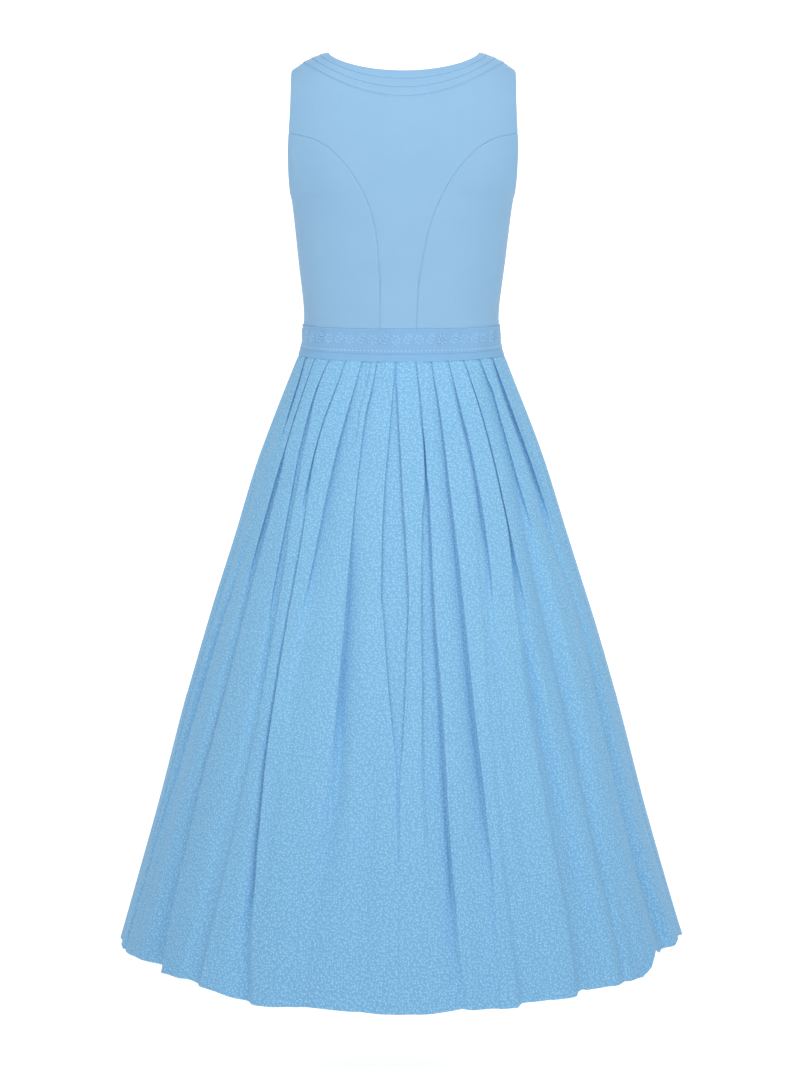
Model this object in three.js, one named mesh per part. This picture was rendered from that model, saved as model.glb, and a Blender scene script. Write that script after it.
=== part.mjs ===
// A sleeveless dirndl dress, filled out as if worn: a bodice of fitted panels with tucks round its neckline,
// a waistband with a ribbon on it, and a long skirt laid in knife pleats.
// Millimetres, +Z up. The origin is mid-way between the shoulder tops where the neckline meets them.
// The back of the dress faces -Y, the front +Y, and the wearer's right side +X.
// Every wall is worked out from one worn form: sections across the body, a row for each height.

import * as THREE from 'three';

// Driving dimensions
const wall = 2;
const seamGap = 0.3;
const neckHalfWidth = 94;
const shoulderTipHalf = 139.6;
const shoulderFall = 24.6;
const shoulderFallStart = 70;
const shoulderLean = 0.35;
const waistDrop = 339;
const bandHeight = 40.4;
const ribbonHeight = 27;
const ribbonThickness = 0.9;
const skirtLength = 764;
const tuckCount = 3;
const tuckWidth = 11.5;
const tuckRise = 1.2;
const tuckStep = 0.7;
const sectionSquareness = 0.12;
const bust = { half: 80, drop: 190, rise: 12, across: 45, up: 50 };

// The neckline falls by drop at the centre line. roundness is how square its curve is, less square further out
const necklines = {
  back: { drop: 24, roundness: 1.3, roundnessEach: 0.026 },
  front: { drop: 165, roundness: 0.75, roundnessEach: 0.006 },
};

// How many steps the walls have along each edge
const seamSteps = 9;
const armholeSteps = 5;
const sidePanelSteps = 7;
const bandSteps = 72;
const panelReach = [0.14, 0.32, 0.54, 0.78, 1];

const bandTop = waistDrop + seamGap;
const bandBottom = bandTop + bandHeight;
const skirtTop = bandBottom + seamGap;
const hemDrop = skirtTop + skirtLength;

// Half the width of the worn form's section at each drop below the origin
const halfRows = [
  { drop: 0, half: 170 },
  { drop: 100, half: 170 },
  { drop: 147, half: 159 },
  { drop: 168, half: 148.3 },
  { drop: 173.5, half: 144.6 },
  { drop: 178, half: 140.5 },
  { drop: 200, half: 137 },
  { drop: 229, half: 133.7 },
  { drop: 263, half: 130 },
  { drop: 293, half: 126.4 },
  { drop: 318, half: 123.8 },
  { drop: 339, half: 123 },
];

// How far the back and the front stand off the shoulder line, by the fall below the shoulder
const depthRows = [
  { fall: 0, back: 0, front: 0 },
  { fall: 3, back: 22, front: 20 },
  { fall: 8, back: 36, front: 33 },
  { fall: 16, back: 49, front: 45 },
  { fall: 27, back: 60, front: 56 },
  { fall: 45, back: 71, front: 69 },
  { fall: 70, back: 81, front: 81 },
  { fall: 105, back: 87, front: 93 },
  { fall: 145, back: 90, front: 106 },
  { fall: 192, back: 89, front: 114 },
  { fall: 240, back: 85, front: 110 },
  { fall: 292, back: 81, front: 103 },
  { fall: 345, back: 80, front: 101 },
];

// Half the distance between the two armholes, from the shoulder tip to the top of the side seam
const armholeRows = [
  { drop: 21.7, half: 139.6 },
  { drop: 50, half: 139.5 },
  { drop: 76, half: 140.2 },
  { drop: 100, half: 141.5 },
  { drop: 121, half: 142.4 },
  { drop: 147, half: 141.8 },
  { drop: 168, half: 140.8 },
  { drop: 178, half: 140.5 },
];
const armholeBottom = 178;

// The long curved seams from each armhole to the waist, as half the distance between the two
const backSeamRows = [
  { drop: 100, half: 141.5 },
  { drop: 107, half: 112 },
  { drop: 121, half: 88.5 },
  { drop: 143.4, half: 67.5 },
  { drop: 175, half: 48 },
  { drop: 206.6, half: 36 },
  { drop: 238, half: 29.4 },
  { drop: 265, half: 26.3 },
  { drop: 291, half: 23.8 },
  { drop: 339, half: 22.8 },
];
const frontSeamRows = [
  { drop: 112, half: 142 },
  { drop: 122, half: 128 },
  { drop: 145, half: 106 },
  { drop: 190, half: 84 },
  { drop: 230, half: 72 },
  { drop: 285, half: 61 },
  { drop: 339, half: 57 },
];

// The waistband's and the skirt's sections
const bandRows = [
  { drop: bandTop, half: 124.6, back: 81.5, front: 102.5 },
  { drop: (bandTop + bandBottom) / 2, half: 125.6, back: 82.5, front: 104 },
  { drop: bandBottom, half: 130.6, back: 86, front: 108 },
];
const skirtRows = [
  { drop: skirtTop, half: 131, back: 87, front: 109 },
  { drop: 397, half: 138.5, back: 93, front: 114 },
  { drop: 450, half: 160.5, back: 113, front: 130 },
  { drop: 512, half: 184, back: 134, front: 148 },
  { drop: 600, half: 211.5, back: 159, front: 168 },
  { drop: 700, half: 243.5, back: 188, front: 191 },
  { drop: 820, half: 279, back: 220, front: 217 },
  { drop: 950, half: 313.5, back: 251, front: 242 },
  { drop: 1050, half: 341.5, back: 276, front: 262 },
  { drop: hemDrop, half: 367.8, back: 300, front: 281 },
];

// The heights at which each pleat's place and depth are given: the top of the skirt, then down to its hem
const pleatDrops = [skirtTop, 530, 760, 950, hemDrop];

// The back's pleats. Each place is the angle round the section, from the centre back, negative on the left.
// Each depth is how far the cloth steps in at the pleat's edge. The edges all point to the centre back.
const backPleatRows = [
  { edge: 1, places: [-76, -77, -79, -80, -81], depths: [3, 8, 9, 12, 14] },
  { edge: 1, places: [-62, -62, -67.5, -69.5, -72], depths: [3, 8, 9, 7, 12] },
  { edge: 1, places: [-52, -54.5, -54.5, -56, -61], depths: [4, 12, 19, 24, 30] },
  { edge: 1, places: [-43.5, -46, -44, -45, -47], depths: [4, 9, 9, 12, 18] },
  { edge: 1, places: [-38.5, -41.5, -39.5, -39, -38.5], depths: [2, 8, 9, 4, 5] },
  { edge: 1, places: [-31, -36.5, -35, -33, -28.5], depths: [4, 12, 16, 17, 22] },
  { edge: 1, places: [-22, -27, -31, -28, -23.5], depths: [4, 8, 5, 3, 3] },
  { edge: 1, places: [-13, -16, -17.5, -19, -18.5], depths: [4, 12, 16, 11, 12] },
  { edge: 1, places: [-4.5, -5.5, -6.5, -7, -7.5], depths: [4, 15, 14, 6, 5] },
  { edge: -1, places: [-0.5, 1, 1.5, 0.5, 0], depths: [4, 11, 9, 4, 4] },
  { edge: -1, places: [8.5, 10, 11, 11.2, 14], depths: [4, 10, 12, 14, 20] },
  { edge: -1, places: [17, 18.5, 19.5, 20.5, 22.3], depths: [4, 12, 16, 16, 20] },
  { edge: -1, places: [27, 29.5, 28, 28.5, 29.5], depths: [4, 10, 8, 6, 6] },
  { edge: -1, places: [34, 36.5, 35.2, 36, 36.3], depths: [2, 5, 12, 15, 20] },
  { edge: -1, places: [39, 40.8, 41, 42.8, 43], depths: [4, 13, 11, 7, 8] },
  { edge: -1, places: [48, 50, 52.5, 51.5, 50], depths: [4, 12, 12, 14, 18] },
  { edge: -1, places: [58.5, 62, 64, 59, 55.8], depths: [4, 10, 8, 12, 16] },
  { edge: -1, places: [67, 69, 72, 69, 66], depths: [3, 8, 9, 8, 10] },
  { edge: -1, places: [77, 78.5, 80, 80, 80], depths: [3, 8, 9, 12, 14] },
];

// The front's pleats are alike and not seen, so they are laid by a rule: the edges point away from its centre
const frontPleatCount = 16;
const frontPleatDepths = [4, 10, 13, 14, 17];
const frontPleatWander = 1.6;

const colours = {
  bodice: 0x98c4e8,
  band: 0x86b6e2,
  ribbon: 0x8ebbe6,
  skirt: 0x7dbce2,
};

// Smooth interpolation through a table's rows, that never overshoots them
function tableAt(rows, key, column, at) {
  const last = rows.length - 1;
  if (at <= rows[0][key]) return rows[0][column];
  if (at >= rows[last][key]) return rows[last][column];
  const slopes = rows.slice(1).map((row, i) => (row[column] - rows[i][column]) / (row[key] - rows[i][key]));
  const tangent = (i) => {
    if (i === 0) return slopes[0];
    if (i === last) return slopes[last - 1];
    const [above, below] = [slopes[i - 1], slopes[i]];
    return above * below > 0 ? (2 * above * below) / (above + below) : 0;
  };
  const i = rows.findIndex((row, index) => index > 0 && at <= row[key]) - 1;
  const span = rows[i + 1][key] - rows[i][key];
  const t = (at - rows[i][key]) / span;
  const before = (1 - t) ** 2;
  const values = rows[i][column] * (1 + 2 * t) * before + rows[i + 1][column] * t * t * (3 - 2 * t);
  return values + span * (tangent(i) * t * before - tangent(i + 1) * t * t * (1 - t));
}

const mix = (a, b, t) => a + (b - a) * t;
const spread = (count) => Array.from({ length: count + 1 }, (_, i) => i / count);
const degrees = THREE.MathUtils.degToRad;

// The line of the shoulders, as a height, at a distance from the middle
function shoulderHeight(x) {
  const past = Math.max(0, (Math.abs(x) - shoulderFallStart) / (shoulderTipHalf - shoulderFallStart));
  const atNeck = (neckHalfWidth - shoulderFallStart) / (shoulderTipHalf - shoulderFallStart);
  return shoulderFall * (atNeck ** 2 - past ** 2);
}

// A point of the worn bodice. side is -1 for the back and 1 for the front, turn is 0 at the centre line
function formPoint(side, turn, drop) {
  const x = tableAt(halfRows, 'drop', 'half', drop) * Math.sin(turn);
  const fall = Math.max(0, shoulderHeight(x) + drop);
  const depth = tableAt(depthRows, 'fall', side < 0 ? 'back' : 'front', fall);
  let y = depth * Math.cos(turn) * (1 + sectionSquareness * Math.sin(turn) ** 2);
  if (side > 0) {
    const across = (Math.abs(x) - bust.half) / bust.across;
    const up = (drop - bust.drop) / bust.up;
    y += bust.rise * Math.exp(-across * across - up * up) * Math.cos(turn);
  }
  return new THREE.Vector3(x, side * y, -drop);
}

function formNormal(side, turn, drop) {
  const step = 0.01;
  const across = formPoint(side, turn + step, drop).sub(formPoint(side, turn - step, drop));
  const down = formPoint(side, turn, drop + 0.5).sub(formPoint(side, turn, drop - 0.5));
  const normal = across.cross(down).normalize();
  return side < 0 ? normal.negate() : normal;
}

const turnAt = (x, drop) =>
  Math.asin(THREE.MathUtils.clamp(x / tableAt(halfRows, 'drop', 'half', drop), -1, 1));

// One closed wall from two grids of points, its outer and its inner side, rows by columns
function wallMesh(name, colour, outer, inner) {
  const rows = outer.length;
  const columns = outer[0].length;
  const points = [...outer.flat(), ...inner.flat()];
  const at = (layer, row, column) => (layer * rows + row) * columns + column;
  const faces = [];
  const quad = (a, b, c, d) => faces.push(a, b, c, a, c, d);
  const bottom = rows - 1;
  const end = columns - 1;
  for (let row = 0; row < bottom; row++) {
    for (let column = 0; column < end; column++) {
      const next = column + 1;
      quad(at(0, row, column), at(0, row + 1, column), at(0, row + 1, next), at(0, row, next));
      quad(at(1, row, column), at(1, row, next), at(1, row + 1, next), at(1, row + 1, column));
    }
  }
  for (let column = 0; column < end; column++) {
    const next = column + 1;
    quad(at(0, 0, column), at(0, 0, next), at(1, 0, next), at(1, 0, column));
    quad(at(0, bottom, column), at(1, bottom, column), at(1, bottom, next), at(0, bottom, next));
  }
  for (let row = 0; row < bottom; row++) {
    quad(at(0, row, 0), at(1, row, 0), at(1, row + 1, 0), at(0, row + 1, 0));
    quad(at(0, row, end), at(0, row + 1, end), at(1, row + 1, end), at(1, row, end));
  }
  if (enclosedVolume(points, faces) < 0) faces.reverse();
  const geometry = new THREE.BufferGeometry();
  geometry.setAttribute('position', new THREE.Float32BufferAttribute(points.flatMap((p) => p.toArray()), 3));
  geometry.setIndex(faces);
  geometry.computeVertexNormals();
  const cloth = new THREE.MeshStandardMaterial({ color: colour, roughness: 0.9, metalness: 0 });
  const mesh = new THREE.Mesh(geometry, cloth);
  mesh.name = name;
  return mesh;
}

function enclosedVolume(points, faces) {
  let volume = 0;
  for (let i = 0; i < faces.length; i += 3) {
    const [a, b, c] = [points[faces[i]], points[faces[i + 1]], points[faces[i + 2]]];
    volume += a.dot(b.clone().cross(c)) / 6;
  }
  return volume;
}

// Places along a seam or edge from a table, evenly by length: x across and y down, in the flat elevation.
// The panels on both sides of a seam are made from the same places
function linePlaces(rows, from, to, count) {
  const fine = spread(80).map((t) => {
    const drop = mix(from, to, t);
    return new THREE.Vector2(tableAt(rows, 'drop', 'half', drop), drop);
  });
  const lengths = [0];
  fine.slice(1).forEach((p, i) => lengths.push(lengths[i] + p.distanceTo(fine[i])));
  const total = lengths[lengths.length - 1];
  return spread(count).map((share) => {
    const i = Math.max(1, lengths.findIndex((length) => length >= share * total - 1e-9));
    const t = (share * total - lengths[i - 1]) / (lengths[i] - lengths[i - 1]);
    return fine[i - 1].clone().lerp(fine[i], t);
  });
}

// The neckline, and the lines beside it at a distance, for a ray from the centre line, 0, to the shoulder, 1
function necklinePoint(side, ray, away) {
  const turn = (ray * Math.PI) / 2;
  const { drop, roundness, roundnessEach } = side < 0 ? necklines.back : necklines.front;
  const share = Math.max(0, Math.cos(turn)) ** (roundness + roundnessEach * away);
  const slope = 0.9;
  const atShoulder = neckHalfWidth + slope * away;
  const fallen = mix(-shoulderHeight(atShoulder), drop + slope * away, share);
  return new THREE.Vector2(atShoulder * Math.sin(turn), fallen);
}

// The three tucks are folds of the panel's own cloth: each rises from its inner edge to its outer one
const tuckStarts = Array.from({ length: tuckCount }, (_, i) => i * tuckWidth);
const tuckRows = tuckStarts.flatMap((start) => [
  { away: start, rise: tuckRise / 4 },
  { away: start + tuckWidth - tuckStep, rise: tuckRise },
]);
tuckRows.push({ away: tuckCount * tuckWidth, rise: 0 });

// The rays of a centre panel, by where each ends: on the waist, then the seam, then the armhole
function centrePanelRays(seamRows, waistSteps, waistRay, seamRay) {
  const seamTop = seamRows[0].drop;
  const half = seamGap / 2;
  const waistHalf = tableAt(seamRows, 'drop', 'half', waistDrop) - half;
  const atWaist = spread(waistSteps).map((t) => ({ ray: t * waistRay, x: t * waistHalf, drop: waistDrop }));
  const atSeam = linePlaces(seamRows, waistDrop, seamTop, seamSteps).map((p, i) => ({
    ray: mix(waistRay, seamRay, i / seamSteps),
    x: p.x - half,
    drop: p.y,
  }));
  const atArmhole = linePlaces(armholeRows, seamTop, armholeRows[0].drop, armholeSteps).map((p, i) => ({
    ray: mix(seamRay, 1, i / armholeSteps),
    x: p.x,
    drop: p.y,
  }));
  return [...atWaist, ...atSeam.slice(1), ...atArmhole.slice(1)];
}

// A centre panel's places in elevation, along each ray from the neckline, past the tucks, to the outer edge
function centrePanel(side, rays) {
  return rays.map(({ ray, x, drop, sign = 1 }) => {
    const inner = tuckRows.map(({ away, rise }) => ({ flat: necklinePoint(side, ray, away), rise }));
    const from = inner[inner.length - 1].flat;
    const outer = panelReach.map((t) => ({ flat: from.clone().lerp(new THREE.Vector2(x, drop), t), rise: 0 }));
    return [...inner, ...outer].map(({ flat, rise }) => ({
      x: flat.x * sign,
      drop: flat.y,
      rise,
      atShoulder: ray === 1,
      atWaist: flat.y > waistDrop - 0.01,
      atCentre: ray === 0 && side > 0,
    }));
  });
}

// Turns the panel's places in elevation into the two sides of its wall
function panelWall(side, lines) {
  const place = ({ x, drop, rise, atShoulder, atWaist, atCentre }) => {
    const turn = turnAt(x, drop);
    const surface = formPoint(side, turn, drop);
    const normal = formNormal(side, turn, Math.max(drop, 2));
    if (atShoulder) {
      normal.set(shoulderLean * Math.sign(x), 0, 1).normalize();
      surface.y = (side * seamGap) / 2;
      surface.z = shoulderHeight(x);
    }
    if (atWaist) normal.z = 0;
    if (atCentre) {
      normal.x = 0;
      surface.x = seamGap / 2;
    }
    normal.normalize();
    return {
      outer: surface.clone().addScaledVector(normal, rise),
      inner: surface.clone().addScaledVector(normal, -wall),
    };
  };
  const placed = lines.map((line) => line.map(place));
  return { outer: placed.map((l) => l.map((p) => p.outer)), inner: placed.map((l) => l.map((p) => p.inner)) };
}

// A side panel: between the curved seam and the side seam, under the armhole
function sidePanel(side, seamRows) {
  const seamTop = seamRows[0].drop;
  const gap = seamGap / 2;
  const top = (u) => {
    const drop = mix(seamTop, armholeBottom, Math.sin((u * Math.PI) / 2));
    return { turn: turnAt(tableAt(armholeRows, 'drop', 'half', drop), drop), drop };
  };
  const places = linePlaces(seamRows, waistDrop, seamTop, seamSteps).reverse();
  const left = (v) => {
    const { x, y: drop } = places.find((p) => (p.y - seamTop) / (waistDrop - seamTop) >= v - 1e-6);
    return { turn: turnAt(x + gap, drop), drop };
  };
  const right = (v) => ({ turn: Math.PI / 2, drop: mix(armholeBottom, waistDrop, v) });
  const bottom = (u) => ({ turn: mix(left(1).turn, Math.PI / 2, u), drop: waistDrop });
  const blend = (key, u, v) =>
    mix(top(u)[key], bottom(u)[key], v) +
    mix(left(v)[key], right(v)[key], u) -
    mix(mix(left(0)[key], right(0)[key], u), mix(left(1)[key], right(1)[key], u), v);
  const place = (u, v) => {
    const turn = blend('turn', u, v);
    const drop = blend('drop', u, v);
    const surface = formPoint(side, turn, drop);
    const normal = formNormal(side, turn, drop);
    if (u === 1) {
      surface.y = side * gap;
      normal.y = 0;
    }
    if (v > 1 - 1e-6) normal.z = 0;
    normal.normalize();
    return { outer: surface.clone(), inner: surface.clone().addScaledVector(normal, -wall) };
  };
  const shares = places.map((p) => (p.y - seamTop) / (waistDrop - seamTop));
  const placed = shares.map((v) => spread(sidePanelSteps).map((u) => place(u, v)));
  return { outer: placed.map((l) => l.map((p) => p.outer)), inner: placed.map((l) => l.map((p) => p.inner)) };
}

const mirrored = (grid) => grid.map((line) => line.map((p) => new THREE.Vector3(-p.x, p.y, p.z)));

function addPair(group, name, colour, { outer, inner }) {
  group.add(wallMesh(`${name}_right`, colour, outer, inner));
  group.add(wallMesh(`${name}_left`, colour, mirrored(outer), mirrored(inner)));
}

function bodice() {
  const group = new THREE.Group();
  const backRays = centrePanelRays(backSeamRows, 2, 0.14, 0.76);
  const wholeBack = [...backRays.slice(1).reverse().map((ray) => ({ ...ray, sign: -1 })), ...backRays];
  const back = panelWall(-1, centrePanel(-1, wholeBack));
  group.add(wallMesh('bodice_back_centre', colours.bodice, back.outer, back.inner));
  addPair(group, 'bodice_back_side', colours.bodice, sidePanel(-1, backSeamRows));
  const front = panelWall(1, centrePanel(1, centrePanelRays(frontSeamRows, 3, 0.28, 0.76)));
  addPair(group, 'bodice_front_centre', colours.bodice, front);
  addPair(group, 'bodice_front_side', colours.bodice, sidePanel(1, frontSeamRows));
  return group;
}

// A section of the band or the skirt: angle 0 at the centre back, 90 at the wearer's right side, 180 in front
function sectionPoint(rows, angle, drop, inward = 0) {
  const half = tableAt(rows, 'drop', 'half', drop) - inward;
  const depth = tableAt(rows, 'drop', Math.cos(angle) > 0 ? 'back' : 'front', drop) - inward;
  const square = 1 + sectionSquareness * fadeBelow(drop) * Math.sin(angle) ** 2;
  return new THREE.Vector3(half * Math.sin(angle), -depth * Math.cos(angle) * square, -drop);
}

// The section is a little square at the waist and a plain oval from the hips down
const fadeBelow = (drop) => 1 - THREE.MathUtils.smoothstep(drop, waistDrop, 520);

// The band is one strip whose two ends meet at the centre front, and the ribbon lies on its upper part
function bandStrip(name, colour, drops, outerLift, thickness) {
  const endAngle = Math.PI - seamGap / 2 / bandRows[0].half;
  const angles = spread(bandSteps).map((t) => mix(-endAngle, endAngle, t));
  const grid = (inward) =>
    drops.map((drop) => angles.map((angle) => sectionPoint(bandRows, angle, drop, inward)));
  return wallMesh(name, colour, grid(-outerLift), grid(thickness - outerLift));
}

function waistband() {
  const group = new THREE.Group();
  const ribbonTop = bandTop + 1;
  const ribbonDrops = spread(2).map((t) => mix(ribbonTop, ribbonTop + ribbonHeight, t));
  const bandDrops = [bandTop, ...ribbonDrops, bandBottom];
  group.add(bandStrip('waistband', colours.band, bandDrops, 0, wall));
  group.add(bandStrip('waist_ribbon', colours.ribbon, ribbonDrops, seamGap + ribbonThickness, ribbonThickness));
  return group;
}

// The front's pleats, with places that wander a little so that no two are alike
function frontPleats() {
  return Array.from({ length: frontPleatCount }, (_, i) => {
    const place = 90 + ((i + 0.5) * 180) / frontPleatCount;
    const edge = i < frontPleatCount / 2 ? -1 : 1;
    const places = pleatDrops.map((_, level) => place + frontPleatWander * Math.sin(2.1 * i + 0.9 * level));
    const depths = frontPleatDepths.map((depth, level) => depth * (1 + 0.3 * Math.sin(3.7 * i + 1.3 * level)));
    return { edge, places, depths };
  });
}

// One pleat's place and depth at a height
function pleatAt({ places, depths, edge }, drop) {
  const rows = pleatDrops.map((level, i) => ({ level, place: places[i], depth: depths[i] }));
  return {
    edge,
    place: degrees(tableAt(rows, 'level', 'place', drop)),
    depth: tableAt(rows, 'level', 'depth', drop),
  };
}

// The skirt's line at one height, from pleat to pleat. At each pleat the cloth stands at its crest on the side
// away from where the edge points, and steps in to its hollow on the other
function pleatedLine(pleats, fromAngle, toAngle, drop) {
  const half = tableAt(skirtRows, 'drop', 'half', drop);
  const marks = [{ angle: fromAngle, inward: 1 }];
  for (const pleat of pleats.map((p) => pleatAt(p, drop))) {
    const stepWidth = (2.4 + 0.45 * pleat.depth) / half;
    const crest = { angle: pleat.place - (pleat.edge * stepWidth) / 2, inward: 0, crest: true };
    const hollow = { angle: pleat.place + (pleat.edge * stepWidth) / 2, inward: pleat.depth, crest: false };
    marks.push(...(pleat.edge > 0 ? [crest, hollow] : [hollow, crest]));
  }
  marks.push({ angle: toAngle, inward: 1 });
  const line = [];
  marks.forEach((mark, i) => {
    line.push(mark);
    const next = marks[i + 1];
    const isStep = next && mark.crest !== undefined && next.crest !== undefined && i % 2 === 1;
    if (!next || isStep) return;
    const bow = Math.abs(mark.inward - next.inward) * 0.22;
    for (const t of [1 / 3, 2 / 3]) {
      const inward = Math.max(0, mix(mark.inward, next.inward, t) - bow);
      line.push({ angle: mix(mark.angle, next.angle, t), inward });
    }
  });
  return line;
}

function skirtPanel(name, pleats, fromDegrees, toDegrees) {
  const drops = [skirtTop, 397, 450, 512, 600, 700, 820, 950, 1050, hemDrop];
  const grid = (extra) =>
    drops.map((drop) => {
      const gapAngle = seamGap / 2 / tableAt(skirtRows, 'drop', 'half', drop);
      const line = pleatedLine(pleats, degrees(fromDegrees) + gapAngle, degrees(toDegrees) - gapAngle, drop);
      return line.map(({ angle, inward }) => sectionPoint(skirtRows, angle, drop, inward + extra));
    });
  return wallMesh(name, colours.skirt, grid(0), grid(wall + 0.3));
}

function skirt() {
  const group = new THREE.Group();
  group.add(skirtPanel('skirt_back', backPleatRows, -90, 90));
  group.add(skirtPanel('skirt_front', frontPleats(), 90, 270));
  return group;
}

const dirndl = new THREE.Group();
dirndl.add(bodice(), waistband(), skirt());

export default dirndl;
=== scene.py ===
"""A sleeveless dirndl dress filled out as if worn, seen from behind.

The CAD's worn form is worked out again here in more detail: the same tables in millimetres, a finer grid,
cloth of its real thickness, sewn tucks and seams, and pleats that fold back under themselves. z is minus the
drop below the shoulder tops, -Y is the wearer's back and +X the wearer's right. A side of -1 is the back and
one of 1 the front.
"""

import math

import bpy
import numpy as np
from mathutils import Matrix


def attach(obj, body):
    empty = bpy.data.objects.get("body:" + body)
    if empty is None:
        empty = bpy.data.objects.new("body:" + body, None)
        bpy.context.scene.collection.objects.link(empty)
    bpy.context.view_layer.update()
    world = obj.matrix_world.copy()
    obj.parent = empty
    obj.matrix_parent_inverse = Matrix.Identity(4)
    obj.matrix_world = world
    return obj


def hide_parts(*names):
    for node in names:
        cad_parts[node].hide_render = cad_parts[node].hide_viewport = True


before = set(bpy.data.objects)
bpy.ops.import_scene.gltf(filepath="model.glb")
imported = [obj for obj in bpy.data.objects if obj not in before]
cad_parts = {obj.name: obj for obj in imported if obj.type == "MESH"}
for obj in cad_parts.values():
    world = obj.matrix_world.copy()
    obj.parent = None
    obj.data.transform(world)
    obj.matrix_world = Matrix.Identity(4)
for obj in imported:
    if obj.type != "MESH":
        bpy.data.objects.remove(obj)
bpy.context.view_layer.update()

MM = 0.001
RIGHT_ANGLE = math.pi / 2

# The worn form, as in the part's source: half widths, and drops below the shoulder tops
NECK_HALF = 94
SHOULDER_TIP = 139.6
SHOULDER_FALL = 24.6
SHOULDER_FALL_START = 70
WAIST = 339
BAND_TOP = 339.3
BAND_BOTTOM = 379.7
SKIRT_TOP = 380
HEM = 1144
RIBBON_TOP = 340.3
RIBBON_BOTTOM = 370
# How far the ribbon's face stands off the band, and how much higher the skirt's seam is at the sides
RIBBON_LIFT = 0.55
BAND_SIDE_RISE = 3
ARMHOLE_BOTTOM = 178
SQUARENESS = 0.12
TUCK_WIDTH = 11.5
TUCK_COUNT = 3
BUST = {"half": 80, "drop": 190, "rise": 12, "across": 45, "up": 50}
# How far the bodice leans to the wearer's right at the shoulders, and its back seams at each drop
LEAN = 3
SEAM_SHIFTS = [(60, 0), (120, 1.5), (166, 1.5), (203, 0.5), (236, -1), (270, -2.6), (WAIST, -4.5)]
# By side: how deep the neckline is, how round, how much that grows with each millimetre away from it
NECKLINES = {-1: (24, 1.3, 0.026), 1: (165, 0.75, 0.006)}
NECKLINE_SPREAD = 0.9
HALF_SEAM_GAP = 0.15
HALF_CLOSING_GAP = 0.12
# About how long a ray from the centre line to the shoulder seam is, round the neckline
RAY_LENGTH = 190

# Drop and half width, for the body, the armhole's edge and the curved seams
HALF_ROWS = [
    (0, 170), (100, 170), (147, 159), (168, 148.3), (173.5, 144.6), (178, 140.5),
    (200, 137), (229, 133.7), (263, 130), (293, 126.4), (318, 123.8), (339, 123),
]
# Fall below the shoulder line, and depth at the back and the front
DEPTH_ROWS = [
    (0, 0, 0), (3, 22, 20), (8, 36, 33), (16, 49, 45), (27, 60, 56), (45, 71, 69), (70, 81, 81),
    (105, 87, 93), (145, 90, 106), (192, 89, 114), (240, 85, 110), (292, 81, 103), (345, 80, 101),
]
ARMHOLE_ROWS = [
    (21.7, 139.6), (50, 139.5), (76, 140.2), (100, 141.5), (121, 142.4), (147, 141.8), (168, 140.8),
    (178, 140.5),
]
BACK_SEAM_ROWS = [
    (100, 141.5), (107, 112), (121, 88.5), (143.4, 67.5), (175, 48), (206.6, 36), (238, 29.4),
    (265, 26.3), (291, 23.8), (339, 22.8),
]
FRONT_SEAM_ROWS = [(112, 142), (122, 128), (145, 106), (190, 84), (230, 72), (285, 61), (339, 57)]
# Drop, half width, and depth at the back and the front
BAND_ROWS = [
    (BAND_TOP, 124.6, 81.5, 102.5), ((BAND_TOP + BAND_BOTTOM) / 2, 125.6, 82.5, 104),
    (BAND_BOTTOM, 130.6, 86, 108),
]
SKIRT_ROWS = [
    (SKIRT_TOP, 131, 87, 109), (397, 138.5, 93, 114), (450, 160.5, 113, 130), (512, 184, 134, 148),
    (600, 211.5, 159, 168), (700, 243.5, 188, 191), (820, 279, 220, 217), (950, 313.5, 251, 242),
    (1050, 341.5, 276, 262), (HEM, 367.8, 300, 281),
]

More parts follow.
